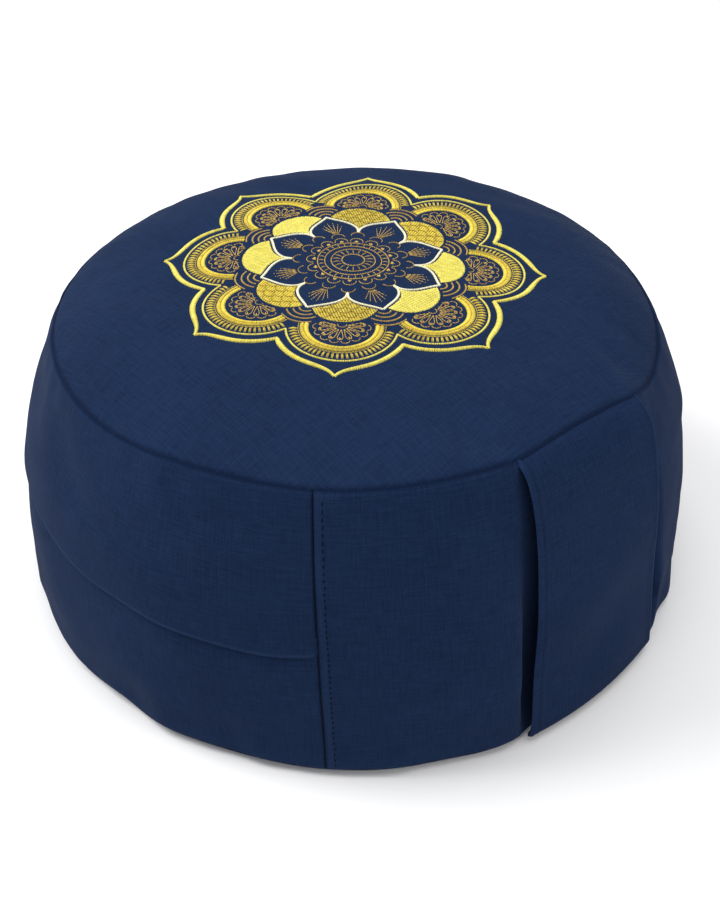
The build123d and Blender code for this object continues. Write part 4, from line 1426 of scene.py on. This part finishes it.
@dataclass
class CarryHandle:
    """Wide canvas band, doubled and hemmed, sewn into the top seam and the base seam."""

    form: Form
    canvas: bpy.types.Material
    half_width: float = 38.0
    thickness: float = 2.0
    hem_inset: float = 3.0
    hem_thread: float = 0.6
    middle: float = 0.5
    length: float = 141.0

    # Outer face: distance out from the axis and height, from the top seam to the base seam
    LINE = [
        (0.0, 134.4, 143.0), (0.02, 137.0, 142.0), (0.06, 141.0, 138.6), (0.12, 145.6, 132.4),
        (0.20, 149.6, 123.2), (0.33, 154.2, 105.0), (0.48, 157.3, 84.0), (0.64, 160.6, 61.0),
        (0.80, 163.6, 37.0), (0.95, 166.4, 11.5), (0.985, 166.6, 5.6), (1.0, 165.6, 2.9),
    ]
    # How much the band curves around the cushion, as the fall from its middle line to its edges
    ROUND = [
        (0.0, 0.0), (0.2, 1.0), (0.33, 1.5), (0.48, 2.0),
        (0.64, 2.8), (0.8, 3.7), (0.95, 4.6), (1.0, 4.7),
    ]
    # How much wider each side is than at the top
    FLARE = [(0.0, 0.0), (0.5, 0.0), (0.65, 0.6), (0.8, 1.8), (0.95, 3.6), (1.0, 4.2)]

    def surface(self, share: np.ndarray, across: np.ndarray, proud: np.ndarray | float = 0.0) -> np.ndarray:
        """Points of the band.

        Args:
            share: Share of the band's length, from its top end.
            across: Distance from its middle line, from -half_width to half_width.
            proud: Distance out from the outer face.

        Returns:
            Points in millimetres.
        """
        x = through([(s, a) for s, a, _ in self.LINE], share)
        z = through([(s, b) for s, _, b in self.LINE], share)
        side = across / self.half_width
        across = across + side * through(self.FLARE, share)
        free = smooth_step(share / 0.16) * smooth_step((1 - share) / 0.12)
        seam = self.form.seam_height(np.degrees(np.arctan2(across, 135.0)))
        z = z + (seam - 144.0) * (1 - smooth_step(share / 0.3))
        soft = Unevenness(43, 60.0).at(np.stack([x, across, z], -1))
        # the far edge stands out further than the near one, and both edges curl in a little
        x = x + free * (0.9 * side + 0.9 * soft - 0.5 * side**4) - through(self.ROUND, share) * side**2
        steep = smooth_step((share - 0.02) / 0.12)
        return np.stack([x + proud * steep, across, z + proud * (1 - steep)], -1)

    def half(self, name: str, first: float, last: float, rows: int) -> bpy.types.Object:
        """One half of the band, from one share of its length to another."""
        deselect_all()
        bpy.ops.mesh.primitive_grid_add(x_subdivisions=76, y_subdivisions=rows, size=1.0)
        piece = bpy.context.object
        piece.name = piece.data.name = name
        flat = coordinates(piece)
        across = flat[:, 0] * 2 * self.half_width
        share = first + (flat[:, 1] + 0.5) * (last - first)
        # the turned-in hems make a low ridge inside each edge
        edge = self.half_width - np.abs(across)
        ridge = 0.35 * smooth_step(edge / 1.0) * (1 - smooth_step((edge - 3.6) / 1.6))
        sewn = -0.3 * np.exp(-(((edge - self.hem_inset) / 0.7) ** 2))
        rolled = -0.8 * (1 - smooth_step(edge / 1.2))
        places = self.surface(share, across, ridge + sewn + rolled)
        move_vertices(piece, places * MM)
        lay_out(piece, across, share * 140.0)
        # lighter along the band's rolled edges, and painted shade in the groove of the hem stitching
        mark(piece, "edge_tone_and_painted_light", 0.6 * np.exp(-((edge / 1.4) ** 2)) - 0.3 * np.exp(-(((edge - 3.0) / 0.5) ** 2)))
        face_out(piece, lambda centres: np.zeros_like(centres) + [1, 0, 0])
        finish_cloth(piece, self.thickness, self.canvas)
        apply_modifier(piece, "BEVEL", width=0.6 * MM, segments=2,
                       limit_method="ANGLE", angle_limit=math.radians(60))
        return piece

    def stitches(self, name: str, first: float, last: float) -> bpy.types.Object:
        """Hem stitches along both edges of one half of the band."""
        pitch, length = HEM_PITCH / self.length, HEM_STITCH / self.length
        found, tones = [], []
        draw = np.random.default_rng(int(first * 10) + 61)
        along, aside, up = STITCH_POINTS.T
        for side in (-1, 1):
            for low in np.arange(first, last - length, pitch):
                across = side * (self.half_width - self.hem_inset) + aside * self.hem_thread
                found.append(self.surface(low + along * length, across, -0.18 + 0.3 * up))
                tones.append(draw.uniform(0.2, 0.8))
        return stitch_piece(name, np.concatenate(found), tones, Thread.NAVY, smooth=False)

    def build(self) -> None:
        """Make both halves of the band and their hem stitches."""
        ends = [self.surface(np.array([s]), np.array([0.0]))[0] * MM for s in (0.0, self.middle, 1.0)]
        for name, first, last, rows, at in (
            ("handle_band_upper", 0.0, self.middle, 44, ends[0]),
            ("handle_band_lower", self.middle, 1.0, 44, ends[2]),
        ):
            band = self.half(name, first, last, rows)
            threads = self.stitches(name.replace("band", "stitches"), max(first, 0.05), min(last, 0.97))
            for piece, slot, node in ((band, "navy_canvas", "carry_handle"),
                                      (threads, "navy_thread", "handle_hem_stitching")):
                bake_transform(piece)
                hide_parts(node)
                log.info("%s: %d faces", piece.name, len(piece.data.polygons))


# ---------------------------------------------------------------- zip


@dataclass
class HiddenZip:
    """Coil zip behind the lap: tapes, end stops, slider and pull keep their CAD shape."""

    def build(self) -> None:
        """Dress the zip's CAD nodes."""
        dressed = {
            ZIP_TAPE: ("zip_tape_upper", "zip_tape_lower"),
            ZIP_COIL: ("zip_coil_upper", "zip_coil_lower"),
            ZIP_ENAMEL: ("zip_end_stops", "zip_slider", "zip_pull_tab"),
        }
        for finish, nodes in dressed.items():
            material = finish.build()
            for node in nodes:
                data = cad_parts[node].data
                data.materials.clear()
                data.materials.append(material)
                log.info("%s: dressed as %s", node, finish.name)


# ---------------------------------------------------------------- studio


@dataclass
class Studio:
    """Pale floor, soft lights and the camera."""

    place: tuple[float, float, float] = (0.36985, -0.33302, 0.45110)
    way: tuple[float, float, float] = (-0.57509, 0.52200, -0.62992)
    lens: float = 50.0

    def camera(self) -> None:
        """Camera at the viewing angle, with no depth of field."""
        data = bpy.data.cameras.new("camera")
        data.lens = self.lens
        data.sensor_width = 36.0
        data.clip_start = 0.01
        eye = bpy.data.objects.new("camera", data)
        bpy.context.scene.collection.objects.link(eye)
        eye.location = self.place
        eye.rotation_euler = Vector(self.way).to_track_quat("-Z", "Y").to_euler()
        bpy.context.scene.camera = eye

    def floor(self) -> None:
        """Plain pale floor."""
        deselect_all()
        bpy.ops.mesh.primitive_plane_add(size=8.0, location=(0, 0, -0.0002))
        floor = bpy.context.object
        floor.name = "floor"
        made = bpy.data.materials.new("matt white paper")
        made.use_nodes = True
        shader = made.node_tree.nodes["Principled BSDF"]
        shader.inputs["Base Color"].default_value = linear("f6f6f7")
        shader.inputs["Roughness"].default_value = 0.9
        shader.inputs["Specular IOR Level"].default_value = 0.1
        floor.data.materials.append(made)

    def lamp(self, name: str, place: tuple[float, float, float], size: float, power: float) -> None:
        """Add one soft square lamp that looks at the cushion."""
        data = bpy.data.lights.new(name, "AREA")
        data.size = size
        data.energy = power
        lamp = bpy.data.objects.new(name, data)
        bpy.context.scene.collection.objects.link(lamp)
        lamp.location = place
        lamp.rotation_euler = (Vector((0, 0, 0.07)) - Vector(place)).to_track_quat("-Z", "Y").to_euler()

    def build(self) -> None:
        """Set up the studio."""
        self.camera()
        self.floor()
        world = bpy.data.worlds.new("white studio")
        bpy.context.scene.world = world
        world.use_nodes = True
        sky = world.node_tree.nodes["Background"]
        sky.inputs[0].default_value = (1.0, 1.0, 1.0, 1.0)
        sky.inputs[1].default_value = 0.55
        bpy.context.scene.view_settings.view_transform = "Standard"
        self.lamp("key, high on the left", (-0.95, -0.75, 1.35), 0.9, 24.0)
        self.lamp("fill, from above", (0.1, 0.2, 1.9), 1.4, 16.0)
        self.lamp("fill, low on the right", (1.3, 0.75, 0.7), 0.8, 5.0)


def main() -> None:
    """Build the cushion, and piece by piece."""
    logging.basicConfig(level=logging.INFO, format="%(message)s")
    form = Form()
    canvas = NAVY_CANVAS.build()
    Studio().build()
    Inside(CALICO.build(), HUSK.build()).build()
    Cover(form, canvas).build()
    CarryHandle(form, canvas).build()
    HiddenZip().build()
    Mandala(form).build()
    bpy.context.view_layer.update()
    deselect_all()


if __name__ == "__main__":
    main()
